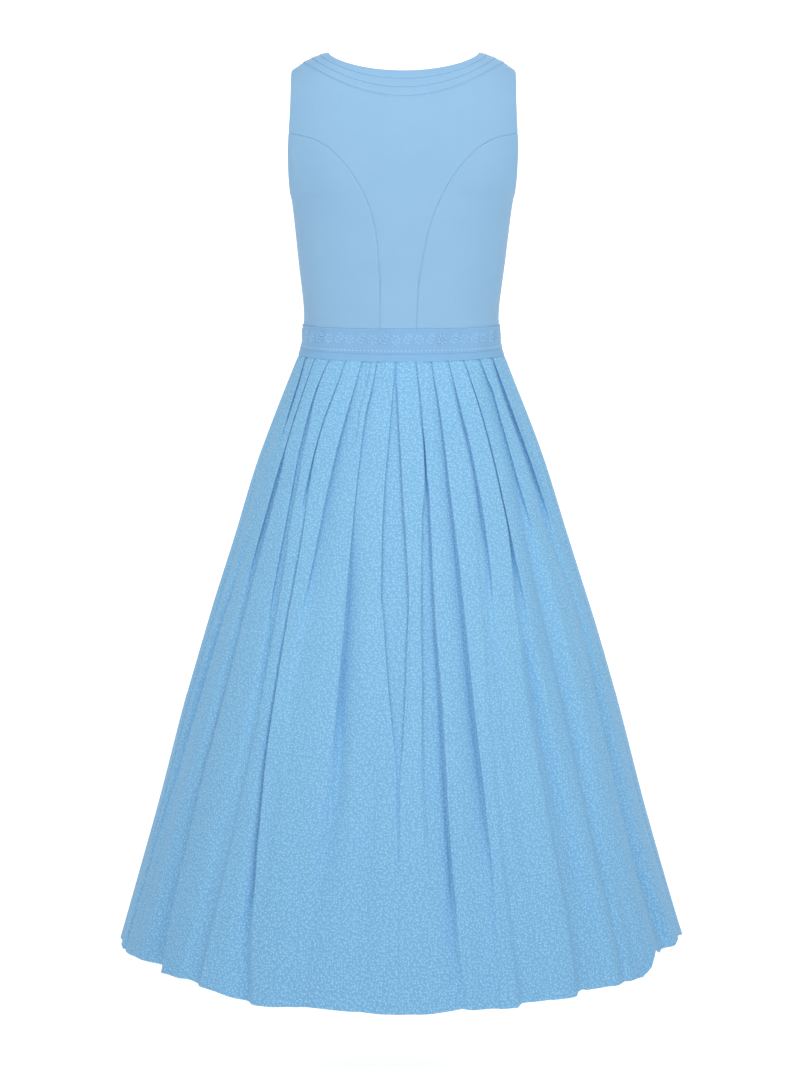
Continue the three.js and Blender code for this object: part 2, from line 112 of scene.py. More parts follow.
# Each fold of the skirt's back, from left to right: which way its edge points round the section, the drops
# where it starts and ends opening out, and its course: drop, degrees and how deep the cloth beyond it lies
BACK_PLEATS = [
    (1, 0, 1, [
        (380, -77, 0), (450, -77.5, 1), (530, -78, 2.5), (760, -79.5, 5), (950, -80.5, 3), (HEM, -81, 0),
    ]),
    (1, 430, 520, [
        (380, -67.2, 2.5), (405, -65, 4), (440, -63.5, 3.5), (475, -62, 2), (510, -62.5, 0.3), (560, -66, 0),
        (620, -69, 0), (700, -72, 0), (900, -76, 0), (HEM, -78, 0),
    ]),
    (-1, 0, 1, [
        (380, -61.5, 0), (475, -59.7, 0), (520, -60.5, 0), (560, -63, 1), (600, -64.5, 3), (640, -65, 6),
        (680, -66, 9), (710, -67, 12), (750, -67.6, 14), (800, -68.5, 14), (830, -69.2, 13), (860, -70.2, 12),
        (920, -71.5, 10), (1000, -73, 8), (HEM, -75, 6),
    ]),
    (1, 590, 700, [
        (380, -56.4, 3), (400, -56.4, 5), (450, -56.4, 6), (490, -56.1, 7), (520, -56.4, 7), (560, -56.9, 7),
        (600, -57.4, 7), (650, -57.7, 6), (700, -58.2, 5), (760, -59, 4), (850, -61, 2), (950, -66, 0),
        (HEM, -71, 0),
    ]),
    (-1, 900, 1140, [
        (380, -55.7, 3), (450, -55.6, 5), (490, -55.2, 6), (510, -54.2, 6), (530, -53.6, 6),
        (560, -53.7, 5.5), (600, -54.2, 5), (700, -54.7, 6), (800, -55.3, 9), (850, -56, 11),
        (900, -56.7, 12), (950, -57, 13), (1050, -56.6, 15), (HEM, -54.8, 18),
    ]),
    (1, 640, 740, [
        (380, -43.7, 3), (402, -46, 4), (420, -47, 5), (440, -47.2, 5), (465, -46.8, 5), (500, -46, 4),
        (530, -45.2, 4), (600, -44.3, 4), (680, -43.2, 4.5), (710, -42.9, 5), (760, -42.9, 5), (850, -44, 3),
        (950, -46, 1.5), (HEM, -48, 2),
    ]),
    (-1, 700, 900, [
        (380, -43.1, 2), (402, -45.3, 2), (430, -45.9, 2.5), (455, -44.6, 4), (480, -44, 4), (500, -43.7, 4),
        (520, -42.7, 5), (590, -42.2, 5), (605, -41.5, 5), (640, -40.8, 5), (720, -40, 5), (800, -39.8, 4),
        (850, -40.2, 3), (950, -41, 4), (1050, -41.9, 5), (HEM, -42.6, 5),
    ]),
    (1, 520, 590, [
        (380, -32.4, 2.5), (400, -33.4, 2.5), (425, -35.2, 2.5), (450, -36.9, 2.5), (475, -37.6, 3),
        (500, -37.9, 5), (530, -38.2, 5), (550, -38.4, 3), (570, -37.9, 0.8), (600, -38, 0), (HEM, -38, 0),
    ]),
    (-1, 960, 1120, [
        (380, -31.7, 2.5), (400, -32.7, 2.5), (425, -34.5, 2.5), (450, -36.2, 2.5), (475, -36.9, 3),
        (500, -37.2, 5), (520, -37, 5), (550, -36.5, 4), (580, -36, 4.5), (620, -35.7, 5), (700, -35.6, 7),
        (820, -35.2, 11), (870, -34.9, 12), (920, -34.3, 13), (960, -33.9, 13), (1000, -33.2, 13),
        (1050, -32.5, 12), (HEM, -29.6, 10),
    ]),
    (1, 600, 740, [
        (380, -21.8, 2.5), (405, -23.5, 3), (435, -25, 4), (460, -26.2, 5), (490, -27.3, 6), (530, -28.3, 7),
        (560, -29, 7), (600, -29.6, 6), (640, -30.2, 5), (680, -31, 4.5), (720, -31.5, 4), (770, -31.6, 3),
        (850, -30, 2), (950, -28, 0.5), (HEM, -25, 0.5),
    ]),
    (1, 760, 930, [
        (380, -13.2, 2), (420, -15, 3), (440, -16.2, 4), (460, -16.5, 3), (500, -16.7, 2.5), (560, -17, 3),
        (610, -17, 6), (650, -17, 9), (700, -16.8, 11), (800, -17, 12), (850, -17.5, 12), (910, -18.5, 10),
        (950, -19.2, 8), (1050, -20, 4), (HEM, -20, 3),
    ]),
    (1, 0, 1, [
        (380, -6.5, 0), (560, -9, 0), (650, -8.3, 0), (700, -7, 1.6), (780, -7.2, 1.6), (850, -8, 3),
        (980, -8.5, 2), (HEM, -9, 1),
    ]),
    (1, 760, 960, [
        (380, -3.4, 3), (400, -3.8, 3), (420, -4.3, 3), (460, -5, 3.5), (500, -5.8, 3.5), (540, -6.3, 4),
        (590, -6.5, 4.5), (630, -6.4, 6), (660, -6.2, 5), (680, -5.4, 4), (710, -4.7, 4), (740, -4, 3.5),
        (800, -2.6, 3.5), (850, -1.4, 3), (880, -1.2, 3), (950, -1.1, 2.5), (1000, -1, 1.5), (HEM, -1, 0.8),
    ]),
    (-1, 760, 960, [
        (380, -2.7, 3), (400, -2.5, 3), (415, -2.1, 3), (450, -1.2, 4), (490, -0.3, 4), (530, 0.3, 4),
        (560, 0.9, 4.5), (600, 1.6, 4.5), (655, 2.2, 4.5), (680, 2, 3.5), (710, 1.6, 3.5), (800, 0.7, 3),
        (850, 0.1, 3), (880, -0.3, 2.5), (950, -0.2, 2), (1050, 0, 0.6), (HEM, 0.2, 0.8),
    ]),
    (1, 760, 960, [
        (380, 7.6, 1.4), (430, 8.6, 1.6), (460, 8.8, 2.5), (480, 9.1, 5), (510, 9, 6), (540, 8.4, 5),
        (555, 7.6, 4), (580, 7.1, 3.5), (640, 6.3, 3.5), (720, 5.7, 4), (760, 5.7, 4), (800, 5.3, 4),
        (850, 5.1, 4), (900, 5, 3.5), (950, 5.2, 2), (1000, 5.8, 1), (HEM, 6.5, 0.6),
    ]),
    (-1, 980, 1140, [
        (380, 8.3, 1.4), (430, 9.3, 1.6), (460, 9.5, 2.5), (480, 9.8, 5), (510, 9.8, 6), (540, 10.2, 6),
        (570, 10.2, 6), (650, 9.9, 6), (700, 10, 7), (770, 10.5, 9), (870, 10.7, 11), (960, 10.9, 12),
        (1000, 11.1, 12), (1050, 11.6, 12), (1080, 12.1, 11), (HEM, 13.3, 9),
    ]),
    (-1, 900, 1100, [
        (380, 16.6, 2.5), (400, 17, 3), (430, 17.6, 4), (470, 18, 5), (520, 18.1, 6), (560, 18.5, 7),
        (610, 18.9, 8), (700, 19, 9), (800, 19.2, 11), (850, 19.5, 11), (900, 19.8, 10), (950, 19.9, 8),
        (1000, 20, 6), (HEM, 19.3, 3),
    ]),
    (1, 0, 1, [
        (380, 22.5, 0), (500, 26.5, 0), (540, 26.7, 1), (600, 25.6, 2), (640, 24.8, 2.5), (690, 24.2, 3),
        (740, 23.5, 3.5), (800, 22.8, 4), (900, 22.4, 5), (1050, 22.1, 7), (HEM, 22.5, 8),
    ]),
    (-1, 600, 720, [
        (380, 26.6, 2.5), (420, 28, 3.5), (450, 28.8, 5), (480, 29.5, 5), (520, 30, 5), (555, 30.3, 7),
        (590, 30.2, 6), (620, 29.8, 5), (650, 29.3, 5), (680, 28.9, 5), (750, 29.4, 6), (850, 29.5, 6),
        (950, 29.7, 4.5), (HEM, 30.5, 3),
    ]),
    (1, 600, 720, [
        (380, 36.2, 2.5), (410, 37.5, 3), (435, 38.5, 4), (460, 39, 4), (500, 39.3, 5), (540, 39.5, 7),
        (580, 39.8, 8), (600, 39.3, 6), (630, 38.3, 4), (660, 37.3, 4), (690, 36.3, 4), (720, 35.7, 4),
        (760, 35.3, 5), (800, 35, 6), (900, 35.3, 7), (1000, 35.8, 8), (1050, 35.9, 9), (HEM, 35.2, 9),
    ]),
    (-1, 600, 740, [
        (380, 36.9, 2.5), (410, 38.2, 3), (435, 39.2, 4), (460, 39.7, 4), (500, 40, 5), (540, 40.2, 7),
        (580, 40.5, 8), (600, 40.5, 8), (670, 40.7, 7), (700, 40.8, 8), (750, 41.2, 13), (800, 41.8, 15),
        (850, 42.6, 16), (900, 43.4, 16), (950, 44.2, 14), (1000, 45, 12), (1050, 45.8, 9), (HEM, 46, 6),
    ]),
    (-1, 520, 640, [
        (380, 48.4, 3), (390, 49, 4), (405, 50, 5), (418, 51.3, 6), (430, 50.7, 5), (460, 50.3, 5),
        (500, 50.2, 6), (520, 50.4, 6), (545, 51, 7), (570, 51.9, 8), (620, 53.8, 11), (720, 54.8, 15),
        (800, 54.8, 16), (900, 54, 15), (1000, 53, 12), (HEM, 51, 6),
    ]),
    (1, 0, 1, [
        (380, 55.5, 0), (600, 58, 0), (800, 59.2, 1.5), (950, 58.8, 2), (1060, 58.2, 2.5), (HEM, 55.8, 2.5),
    ]),
    (-1, 520, 640, [
        (380, 61.2, 4), (430, 62, 7), (470, 62.6, 8), (500, 63.2, 8), (540, 64.5, 8), (570, 65.8, 8),
        (600, 66.9, 8), (640, 69, 6), (700, 71.2, 5), (760, 72, 7), (800, 70.8, 8), (860, 69.2, 9),
        (950, 69, 10), (1050, 70, 12), (HEM, 72, 14),
    ]),
    (-1, 0, 1, [
        (380, 69, 0), (440, 69.2, 1), (480, 69.6, 3), (530, 70.6, 5), (570, 72, 5), (600, 73, 4),
        (650, 75, 1), (700, 76, 0), (HEM, 78, 0),
    ]),
    (-1, 0, 1, [(380, 77, 0), (450, 77.7, 1), (530, 78.5, 2.5), (760, 80, 4), (950, 81, 3), (HEM, 82.5, 0)]),
]
# The hem isn't level: how far it is drawn up, round the back by degrees
HEM_LIFTS = [
    (-90, 4.5), (-84, 6.5), (-78, 6), (-70, 9), (-66, 12), (-62, 11.5), (-56.8, 10), (-55.6, 9), (-53, 11),
    (-46, 11.5), (-44, 9), (-41.5, 8), (-38, 6.5), (-35.4, 2.5), (-30.3, -2), (-25.6, -1), (-21, 1.5),
    (-17, 4), (-12.6, 2.7), (-8.5, 1.4), (-4.4, 0), (3.8, -1), (8, 1.4), (12, 2.7), (16, 1.4), (22.4, 0.5),
    (23.4, 3), (30, 3.4), (35.2, 3), (36.4, 6), (38.4, 7), (39.6, 4.5), (44, 4.5), (50, 4.5), (55.5, 2.7),
    (58.4, 8), (60, 17), (61.7, 24), (63.4, 27), (65.3, 19), (67.4, 16), (72, 19), (75, 22), (79, 21.5),
    (84, 15), (87, 9), (90, 4.5),
]
HEM_LIFT_FROM = 960
HEM_TURNING = 26
FRONT_DROPS = [SKIRT_TOP, 530, 760, 950, HEM]
FRONT_PLEAT_COUNT = 16
FRONT_PLEAT_DEPTHS = (2.5, 5, 9, 12, 16)
FRONT_PLEAT_WANDER = 1.6
FRONT_PLEATS_OPEN = (700, 900)

# Cloth thicknesses
BODICE_CLOTH = 1.4
BAND_CLOTH = 1.4
RIBBON_CLOTH = 0.7
SKIRT_CLOTH = 0.45


def smooth_table(rows, column=1):
    """A smooth function through one column of a table's rows, that never overshoots them."""
    table = np.array(rows, float)
    places, values = table[:, 0], table[:, column]
    slopes = np.diff(values) / np.diff(places)
    product, total = slopes[:-1] * slopes[1:], slopes[:-1] + slopes[1:]
    inner = np.where(product > 0, 2 * product / np.where(product > 0, total, 1), 0)
    tangents = np.concatenate([slopes[:1], inner, slopes[-1:]])

    def value(at):
        at = np.clip(np.asarray(at, float), places[0], places[-1])
        i = np.clip(np.searchsorted(places, at) - 1, 0, len(places) - 2)
        span = places[i + 1] - places[i]
        t = (at - places[i]) / span
        before = (1 - t) ** 2
        held = values[i] * (1 + 2 * t) * before + values[i + 1] * t * t * (3 - 2 * t)
        return held + span * (tangents[i] * t * before - tangents[i + 1] * t * t * (1 - t))

    return value


half_at = smooth_table(HALF_ROWS)
depth_at = {-1: smooth_table(DEPTH_ROWS, 1), 1: smooth_table(DEPTH_ROWS, 2)}
armhole_at = smooth_table(ARMHOLE_ROWS)


def shoulder_height(x):
    reach = SHOULDER_TIP - SHOULDER_FALL_START
    past = np.maximum(0, (np.abs(x) - SHOULDER_FALL_START) / reach)
    at_neck = (NECK_HALF - SHOULDER_FALL_START) / reach
    return SHOULDER_FALL * (at_neck**2 - past**2)


def turn_at(x, drop):
    return np.arcsin(np.clip(x / half_at(drop), -1, 1))


def form_point(side, turn, drop):
    """A point of the worn bodice. side is -1 for the back and 1 for the front."""
    x = half_at(drop) * np.sin(turn)
    fall = np.maximum(0, shoulder_height(x) + drop)
    y = depth_at[side](fall) * np.cos(turn) * (1 + SQUARENESS * np.sin(turn) ** 2)
    if side > 0:
        across = (np.abs(x) - BUST["half"]) / BUST["across"]
        up = (drop - BUST["drop"]) / BUST["up"]
        y = y + BUST["rise"] * np.exp(-(across**2) - up**2) * np.cos(turn)
    return np.stack([x, side * y, -drop], axis=-1)


def grid_normals(grid):
    """Unit normals of a grid of points, away from the body's axis on the whole."""
    down = np.gradient(grid, axis=0)
    across = np.gradient(grid, axis=1)
    normals = np.cross(across, down)
    normals /= np.maximum(np.linalg.norm(normals, axis=-1, keepdims=True), 1e-9)
    outward = (normals[..., :2] * grid[..., :2]).sum()
    return normals if outward > 0 else -normals


def arc_lengths(grid, axis):
    """How far each point lies along its row or column, along the cloth."""
    steps = np.linalg.norm(np.diff(grid, axis=axis), axis=-1)
    pad = np.zeros_like(np.take(steps, [0], axis=axis))
    return np.concatenate([pad, np.cumsum(steps, axis=axis)], axis=axis)


def border_of(rows, columns):
    """The row and column of each point round the border of a grid."""
    top = [(0, c) for c in range(columns)]
    end = [(r, columns - 1) for r in range(1, rows)]
    bottom = [(rows - 1, c) for c in range(columns - 2, -1, -1)]
    start = [(r, 0) for r in range(rows - 2, 0, -1)]
    return np.array(top + end + bottom + start)


def placed(name, data):
    """A new object in the scene, at the origin."""
    added = bpy.data.objects.new(name, data)
    bpy.context.scene.collection.objects.link(added)
    return added


def cloth_shell(name, outer, inner, flat_places, bulges):
    """One closed piece of cloth from its two sides and each point's place on the flat cloth, in millimetres.

    bulges says how far the cut edge is rounded out past the border: at the top, bottom, start and end.
    """
    rows, columns = outer.shape[:2]
    border = border_of(rows, columns)
    r, c = border[:, 0], border[:, 1]
    towards = np.zeros((len(border), 3))
    sides = [(r == 0, 1, 0), (r == rows - 1, -1, 0), (c == 0, 0, 1), (c == columns - 1, 0, -1)]
    for (on_side, dr, dc), amount in zip(sides, bulges):
        here = outer[r[on_side], c[on_side]]
        step = here - outer[r[on_side] + dr, c[on_side] + dc]
        towards[on_side] += step / np.maximum(np.linalg.norm(step, axis=1, keepdims=True), 1e-9) * amount
    rim = (outer[r, c] + inner[r, c]) / 2 + towards
    points = np.concatenate([outer.reshape(-1, 3), inner.reshape(-1, 3), rim]) * MM
    count = rows * columns
    index = np.arange(count).reshape(rows, columns)
    corners = [index[:-1, :-1], index[1:, :-1], index[1:, 1:], index[:-1, 1:]]
    outer_quads = np.stack(corners, axis=-1).reshape(-1, 4)
    inner_quads = outer_quads[:, ::-1] + count
    ring = index[r, c]
    following = np.roll(ring, -1)
    rim_at = 2 * count + np.arange(len(ring))
    rim_next = np.roll(rim_at, -1)
    rim_quads = np.concatenate([
        np.stack([ring, following, rim_next, rim_at], axis=-1),
        np.stack([rim_at, rim_next, following + count, ring + count], axis=-1),
    ])
    quads = np.concatenate([outer_quads, inner_quads, rim_quads])
    first, second, third, fourth = (points[quads[:, k]] for k in range(4))
    volume = (first * (np.cross(second, third) + np.cross(third, fourth))).sum()
    if volume < 0:
        quads = quads[:, ::-1]
    mesh = bpy.data.meshes.new(name)
    mesh.from_pydata(points.tolist(), [], quads.tolist())
    mesh.polygons.foreach_set("use_smooth", np.ones(len(quads), bool))
    one_side = flat_places.reshape(-1, 2)
    flat = np.concatenate([one_side, one_side, flat_places[r, c]]) * MM
    cloth_map = mesh.uv_layers.new(name="cloth")
    cloth_map.data.foreach_set("uv", flat[quads.ravel()].astype(np.float32).ravel())
    mesh.update()
    return placed(name, mesh)


def waves(at, parts):
    """A sum of sines: each part is its wavelength, height and phase."""
    return sum(height * np.sin(2 * np.pi * at / wavelength + phase) for wavelength, height, phase in parts)


def eased(count, ease):
    """Shares from 0 to 1, which crowd towards 1 by a power."""
    return 1 - (1 - np.linspace(0, 1, count + 1)) ** ease


def along_line(rows, start, end, count, ease=1):
    """Places along a seam or edge, by length: their half width and drop. Eased, they crowd at its end."""
    at = smooth_table(rows)
    drop = np.linspace(start, end, 400)
    x = at(drop)
    length = np.concatenate([[0], np.cumsum(np.hypot(np.diff(x), np.diff(drop)))])
    at_length = length[-1] * eased(count, ease)
    return np.interp(at_length, length, x), np.interp(at_length, length, drop)


def neckline_point(side, ray, away):
    """The neckline and the lines beside it, from the centre line, ray 0, to the shoulder, ray 1."""
    drop, roundness, each = NECKLINES[side]
    turn = ray * RIGHT_ANGLE
    share = np.maximum(0, np.cos(turn)) ** (roundness + each * away)
    at_shoulder = NECK_HALF + NECKLINE_SPREAD * away
    top = -shoulder_height(at_shoulder)
    return at_shoulder * np.sin(turn), top + (drop + NECKLINE_SPREAD * away - top) * share


# One tuck: places from its inner edge, and how far the cloth stands up there. It climbs to a stitched edge
TUCK_PROFILE = [
    (0, 0.1), (0.8, 0.18), (2.4, 0.3), (4.6, 0.45), (6.8, 0.6), (8.4, 0.72), (9.6, 0.82),
    (10.4, 0.88), (10.85, 0.9), (11.1, 0.85), (11.25, 0.65), (11.33, 0.4), (11.4, 0.08),
]
# Below the last tuck, a line of stitches draws the cloth in
UNDER_TUCKS = [
    (34.5, 0.05), (35.3, 0), (36.2, -0.1), (36.7, -0.35), (37, -0.42), (37.3, -0.35), (37.9, -0.08), (39, 0),
]
# How much the columns of a centre panel crowd towards the shoulder, at the neckline and at the armhole
SHOULDER_EASE = {-1: (1.5, 1.3), 1: (2.3, 1.5)}
# From which ray on the tucks grow soft towards the shoulder, and by which ray they are
SOFT_TUCK_RAYS = {-1: (0.9, 0.97), 1: (0.45, 0.7)}
SOFT_TUCK_BLUR = 1.1


def softened(places, heights, width):
    """A profile of heights, blurred over a width, at the same places."""
    fine = np.arange(places[0] - 4 * width, places[-1] + 4 * width, 0.05)
    spread = np.exp(-(((fine[None] - np.array(places)[:, None]) / width) ** 2) / 2)
    return (spread * np.interp(fine, places, heights)).sum(axis=1) / spread.sum(axis=1)


def nearest_along(grid, line):
    """How far each point of a grid is from a line of points, and how far along the line it is nearest."""
    along = arc_lengths(line[None], 1)[0]
    near, place = np.empty(grid.shape[:2]), np.empty(grid.shape[:2])
    for row, points in enumerate(grid):
        gaps = np.linalg.norm(points[:, None] - line[None], axis=-1)
        best = gaps.argmin(axis=1)
        near[row] = gaps[np.arange(len(points)), best]
        place[row] = along[best]
    return near, place


def seam_relief(near, place, phase):
    """How far the cloth stands in or out beside a sewn seam: a narrow ditch, and small puckers beside it."""
    ditch = -0.8 * np.exp(-((near / 0.8) ** 2))
    sines = [(7.3, 0.07, phase), (11.9, 0.06, 2.1 * phase), (4.4, 0.035, 0.7 * phase)]
    puckers = waves(place + 0.6 * near, sines)
    return ditch + puckers * np.exp(-near / 4.5) * (1 - np.exp(-((near / 1.2) ** 2)))


def soft_waves(side, turn, drop):
    """The slight unevenness of cloth over a body."""
    first = np.sin(turn * 3.1 + drop / 31 + side) * np.sin(drop / 47 + 1.3 * side)
    second = np.sin(turn * 5.7 - drop / 23) * np.sin(drop / 19 + turn)
    return 0.3 * first + 0.07 * second


def turned_out(drop):
    """The bodice's lower edge is pressed out a little, where the band takes hold of it."""
    return 1.2 * np.clip((drop - 329) / 10, 0, 1) ** 2


def seam_line(side, rows, start):
    """A curved seam from the armhole to the waist, in the round."""
    x, drop = along_line(rows, start, WAIST, 600)
    return form_point(side, turn_at(x, drop), drop)


def mirrored(grid):
    return grid * np.array([-1, 1, 1])


def centre_panel(side, seam_rows, steps, waist_ray, seam_ray):
    """Half a centre panel: its form, the relief on it and its place on the flat cloth.

    Its columns run from the neckline to the waist, to the curved seam and to the armhole in turn.
    """
    waist_steps, seam_steps, armhole_steps = steps
    seam_top = seam_rows[0][0]
    seam_x, seam_drop = along_line(seam_rows, WAIST, seam_top, seam_steps)
    ray_ease, arm_ease = SHOULDER_EASE[side]
    arm_x, arm_drop = along_line(ARMHOLE_ROWS, seam_top, ARMHOLE_ROWS[0][0], armhole_steps, arm_ease)
    waist_share = 1 - (1 - np.linspace(0, 1, waist_steps + 1)[:-1]) ** 1.7
    ray = np.concatenate([
        waist_share * waist_ray,
        waist_ray + (seam_ray - waist_ray) * np.linspace(0, 1, seam_steps + 1) ** 1.6,
        seam_ray + (1 - seam_ray) * eased(armhole_steps, ray_ease)[1:],
    ])
    edge_x = np.concatenate([waist_share * seam_x[0], seam_x, arm_x[1:]])
    edge_drop = np.concatenate([np.full(waist_steps, float(WAIST)), seam_drop, arm_drop[1:]])
    tucks = range(TUCK_COUNT)
    profile = [(tuck * TUCK_WIDTH + place, height) for tuck in tucks for place, height in TUCK_PROFILE]
    away, rise = zip(*profile + UNDER_TUCKS)
    x, drop = zip(*[neckline_point(side, ray, step) for step in away])
    from_x, from_drop = x[-1], drop[-1]
    reach = np.hypot(edge_x - from_x, edge_drop - from_drop)
    near_edge = np.array([9.5, 7, 5, 3.5, 2.4, 1.6, 1.0, 0.5, 0])
    share = np.concatenate([
        np.linspace(0, 1, 34)[1:, None] * (1 - near_edge[0] / reach)[None],
        1 - near_edge[1:, None] / reach[None],
    ])
    x = np.concatenate([np.array(x), from_x + share * (edge_x - from_x)])
    drop = np.concatenate([np.array(drop), from_drop + share * (edge_drop - from_drop)])
    soft_from, soft_by = SOFT_TUCK_RAYS[side]
    soft_share = np.clip((ray - soft_from) / (soft_by - soft_from), 0, 1)[None]
    soft_rise = softened(away, rise, SOFT_TUCK_BLUR)[:, None]
    rise = np.array(rise)[:, None] * (1 - soft_share) + soft_rise * soft_share
    rise = np.concatenate([rise, np.zeros((len(share), len(ray)))])
    turn = turn_at(x, drop)
    grid = form_point(side, turn, drop)
    grid[:, -1, 1] = 0
    grid[:, -1, 2] = shoulder_height(x[:, -1])
    near, place = nearest_along(grid, seam_line(side, seam_rows, seam_top))
    relief = rise + seam_relief(near, place, 1.7 * side)
    relief += soft_waves(side, turn, drop) * np.clip(near / 15, 0, 1) * np.clip((drop - 60) / 60, 0, 1)
    relief += turned_out(drop)
    to_shoulder = (1 - ray)[None] * RAY_LENGTH
    relief -= 0.55 * np.exp(-((to_shoulder / 1.1) ** 2))
    flat = np.stack([turn * half_at(drop), -drop], axis=-1)
    return grid, relief, flat


def wall_of(grid, relief, thickness):
    normals = grid_normals(grid)
    return grid + normals * relief[..., None], grid - normals * thickness


def side_panel(side, seam_rows, rows=120):
    """A side panel, from the curved seam to the side seam, under the armhole."""
    seam_top = seam_rows[0][0]
    seam_x, seam_drop = along_line(seam_rows, seam_top, WAIST, rows)
    at_waist = WAIST - np.array([1.2, 0.4, 0])
    seam_x = np.concatenate([seam_x[:-1], np.interp(at_waist, seam_drop, seam_x)])
    seam_drop = np.concatenate([seam_drop[:-1], at_waist])
    v = ((seam_drop - seam_top) / (WAIST - seam_top))[:, None]
    near_edge = np.array([0, 0.004, 0.009, 0.016, 0.026, 0.04, 0.06, 0.09])
    u = np.concatenate([near_edge, np.linspace(0.09, 0.93, 34)[1:], [0.955, 0.972, 0.985, 0.993, 1]])[None]
    top_drop = seam_top + (ARMHOLE_BOTTOM - seam_top) * np.sin(u * RIGHT_ANGLE)
    top_turn = turn_at(armhole_at(top_drop), top_drop)
    left_turn = turn_at(seam_x, seam_drop)[:, None]
    waist_turn = left_turn[-1, 0] + (RIGHT_ANGLE - left_turn[-1, 0]) * u
    right_drop = ARMHOLE_BOTTOM + (WAIST - ARMHOLE_BOTTOM) * v

    def coons(top, bottom, left, right):
        above = (1 - u) * left[0, 0] + u * right[0, 0]
        below = (1 - u) * left[-1, 0] + u * right[-1, 0]
        corners = (1 - v) * above + v * below
        return (1 - v) * top + v * bottom + (1 - u) * left + u * right - corners

    turn = coons(top_turn, waist_turn, left_turn, np.full_like(v, RIGHT_ANGLE))
    drop = coons(top_drop, np.full_like(u, WAIST), seam_drop[:, None], right_drop)
    grid = form_point(side, turn, drop)
    near, place = nearest_along(grid, seam_line(side, seam_rows, seam_top))
    to_side = arc_lengths(grid, 1)
    to_side = to_side[:, -1:] - to_side
    relief = seam_relief(near, place, 2.9 * side) + seam_relief(to_side, drop, 0.8)
    relief += soft_waves(side, turn, drop) * np.clip(near / 15, 0, 1) * np.clip(to_side / 15, 0, 1)
    relief += turned_out(drop)
    return grid, relief, np.stack([turn * half_at(drop), -drop], axis=-1)


def whole_from_half(grid, relief, flat):
    """Both halves of a panel that is the same on both sides, from its right half."""
    both = np.concatenate([mirrored(grid)[:, :0:-1], grid], axis=1)
    reliefs = np.concatenate([relief[:, :0:-1], relief], axis=1)
    flats = np.concatenate([flat[:, :0:-1] * [-1, 1], flat], axis=1)
    return both, reliefs, flats


def leant(grid):
    """The bodice stands a little to the wearer's right, more so towards the shoulders."""
    moved = grid.copy()
    moved[..., 0] += LEAN * np.clip(1 + grid[..., 2] / WAIST, 0, 1)
    return moved


def shifted(grid):
    """The back's seams wander to one side of the middle, round the same form."""
    drop = -grid[..., 2]
    half = half_at(drop)
    share = np.clip(grid[..., 0] / half, -0.999, 0.999)
    moved = np.clip(share + smooth_table(SEAM_SHIFTS)(drop) / half * (1 - share**2) ** 2, -0.999, 0.999)
    square = (1 + SQUARENESS * moved**2) / (1 + SQUARENESS * share**2)
    depth = np.sqrt((1 - moved**2) / (1 - share**2)) * square
    return np.stack([moved * half + grid[..., 0] - share * half, grid[..., 1] * depth, grid[..., 2]], axis=-1)


def bodice_piece(name, form, relief, flat):
    outer, inner = wall_of(form, relief, BODICE_CLOTH)
    return cloth_shell(name, leant(outer), leant(inner), flat, (0.6, 0, 0, 0))


def make_bodice():
    """The seven panels of the bodice, by the node that each stands for."""
    half_back = centre_panel(-1, BACK_SEAM_ROWS, steps=(16, 150, 44), waist_ray=0.108, seam_ray=0.76)
    half_front = centre_panel(1, FRONT_SEAM_ROWS, steps=(20, 110, 50), waist_ray=0.27, seam_ray=0.76)
    grid, relief, flat = whole_from_half(*half_back)
    pieces = {"bodice_back_centre": bodice_piece("back_centre_panel", shifted(grid), relief, flat)}
    grid, relief, _ = half_front
    grid[:, 0, 0] = HALF_CLOSING_GAP
    relief -= 0.35 * np.exp(-((grid[..., 0] / 1.2) ** 2))
    panels = {
        "back_side": side_panel(-1, BACK_SEAM_ROWS),
        "front_side": side_panel(1, FRONT_SEAM_ROWS),
        "front_centre": half_front,
    }
    for label, (grid, relief, flat) in panels.items():
        for hand, form, across in (("right", grid, 1), ("left", mirrored(grid), -1)):
            if label == "back_side":
                form = shifted(form)
            name = f"{label}_panel_{hand}"
            pieces[f"bodice_{label}_{hand}"] = bodice_piece(name, form, relief, flat * [across, 1])
    return pieces


def below_hips(drop):
    t = np.clip((drop - WAIST) / (520 - WAIST), 0, 1)
    return 1 - t * t * (3 - 2 * t)


def section_point(rows, angle, drop, inward):
    """The band's or the skirt's section: angle 0 is the centre back, a right angle the wearer's right."""
    half = smooth_table(rows, 1)(drop) - inward
    back = np.cos(angle) > 0
    depth = np.where(back, smooth_table(rows, 2)(drop), smooth_table(rows, 3)(drop)) - inward
    square = 1 + SQUARENESS * below_hips(drop) * np.sin(angle) ** 2
    return np.stack([half * np.sin(angle), -depth * np.cos(angle) * square, -drop + 0 * angle], axis=-1)


def side_rise(angle):
    """How far the seam between band and skirt is higher at the sides than at the middle."""
    return BAND_SIDE_RISE * np.sin(angle) ** 2


def band_point(angle, drop, inward):
    grid = section_point(BAND_ROWS, angle, drop, inward)
    share = np.clip((drop - BAND_TOP) / (BAND_BOTTOM - BAND_TOP), 0, 1) ** 1.5
    grid[..., 2] += side_rise(angle) * share
    return grid


def band_strip(name, drops, lift, thickness, bulges):
    end = math.pi - HALF_SEAM_GAP / BAND_ROWS[0][1]
    angle = np.linspace(-end, end, 361)[None]
    drop = np.array(drops, float)[:, None]
    uneven = 0.16 * np.sin(angle * 9 + drop / 11) + 0.1 * np.sin(angle * 23 + 1.7)
    outer = band_point(angle, drop, -(lift + uneven))
    inner = band_point(angle, drop, thickness - lift)
    lengths = arc_lengths(outer, 1)
    flat = np.stack([lengths - lengths[:, 180:181], -drop + 0 * lengths], axis=-1)
    return cloth_shell(name, outer, inner, flat, bulges)


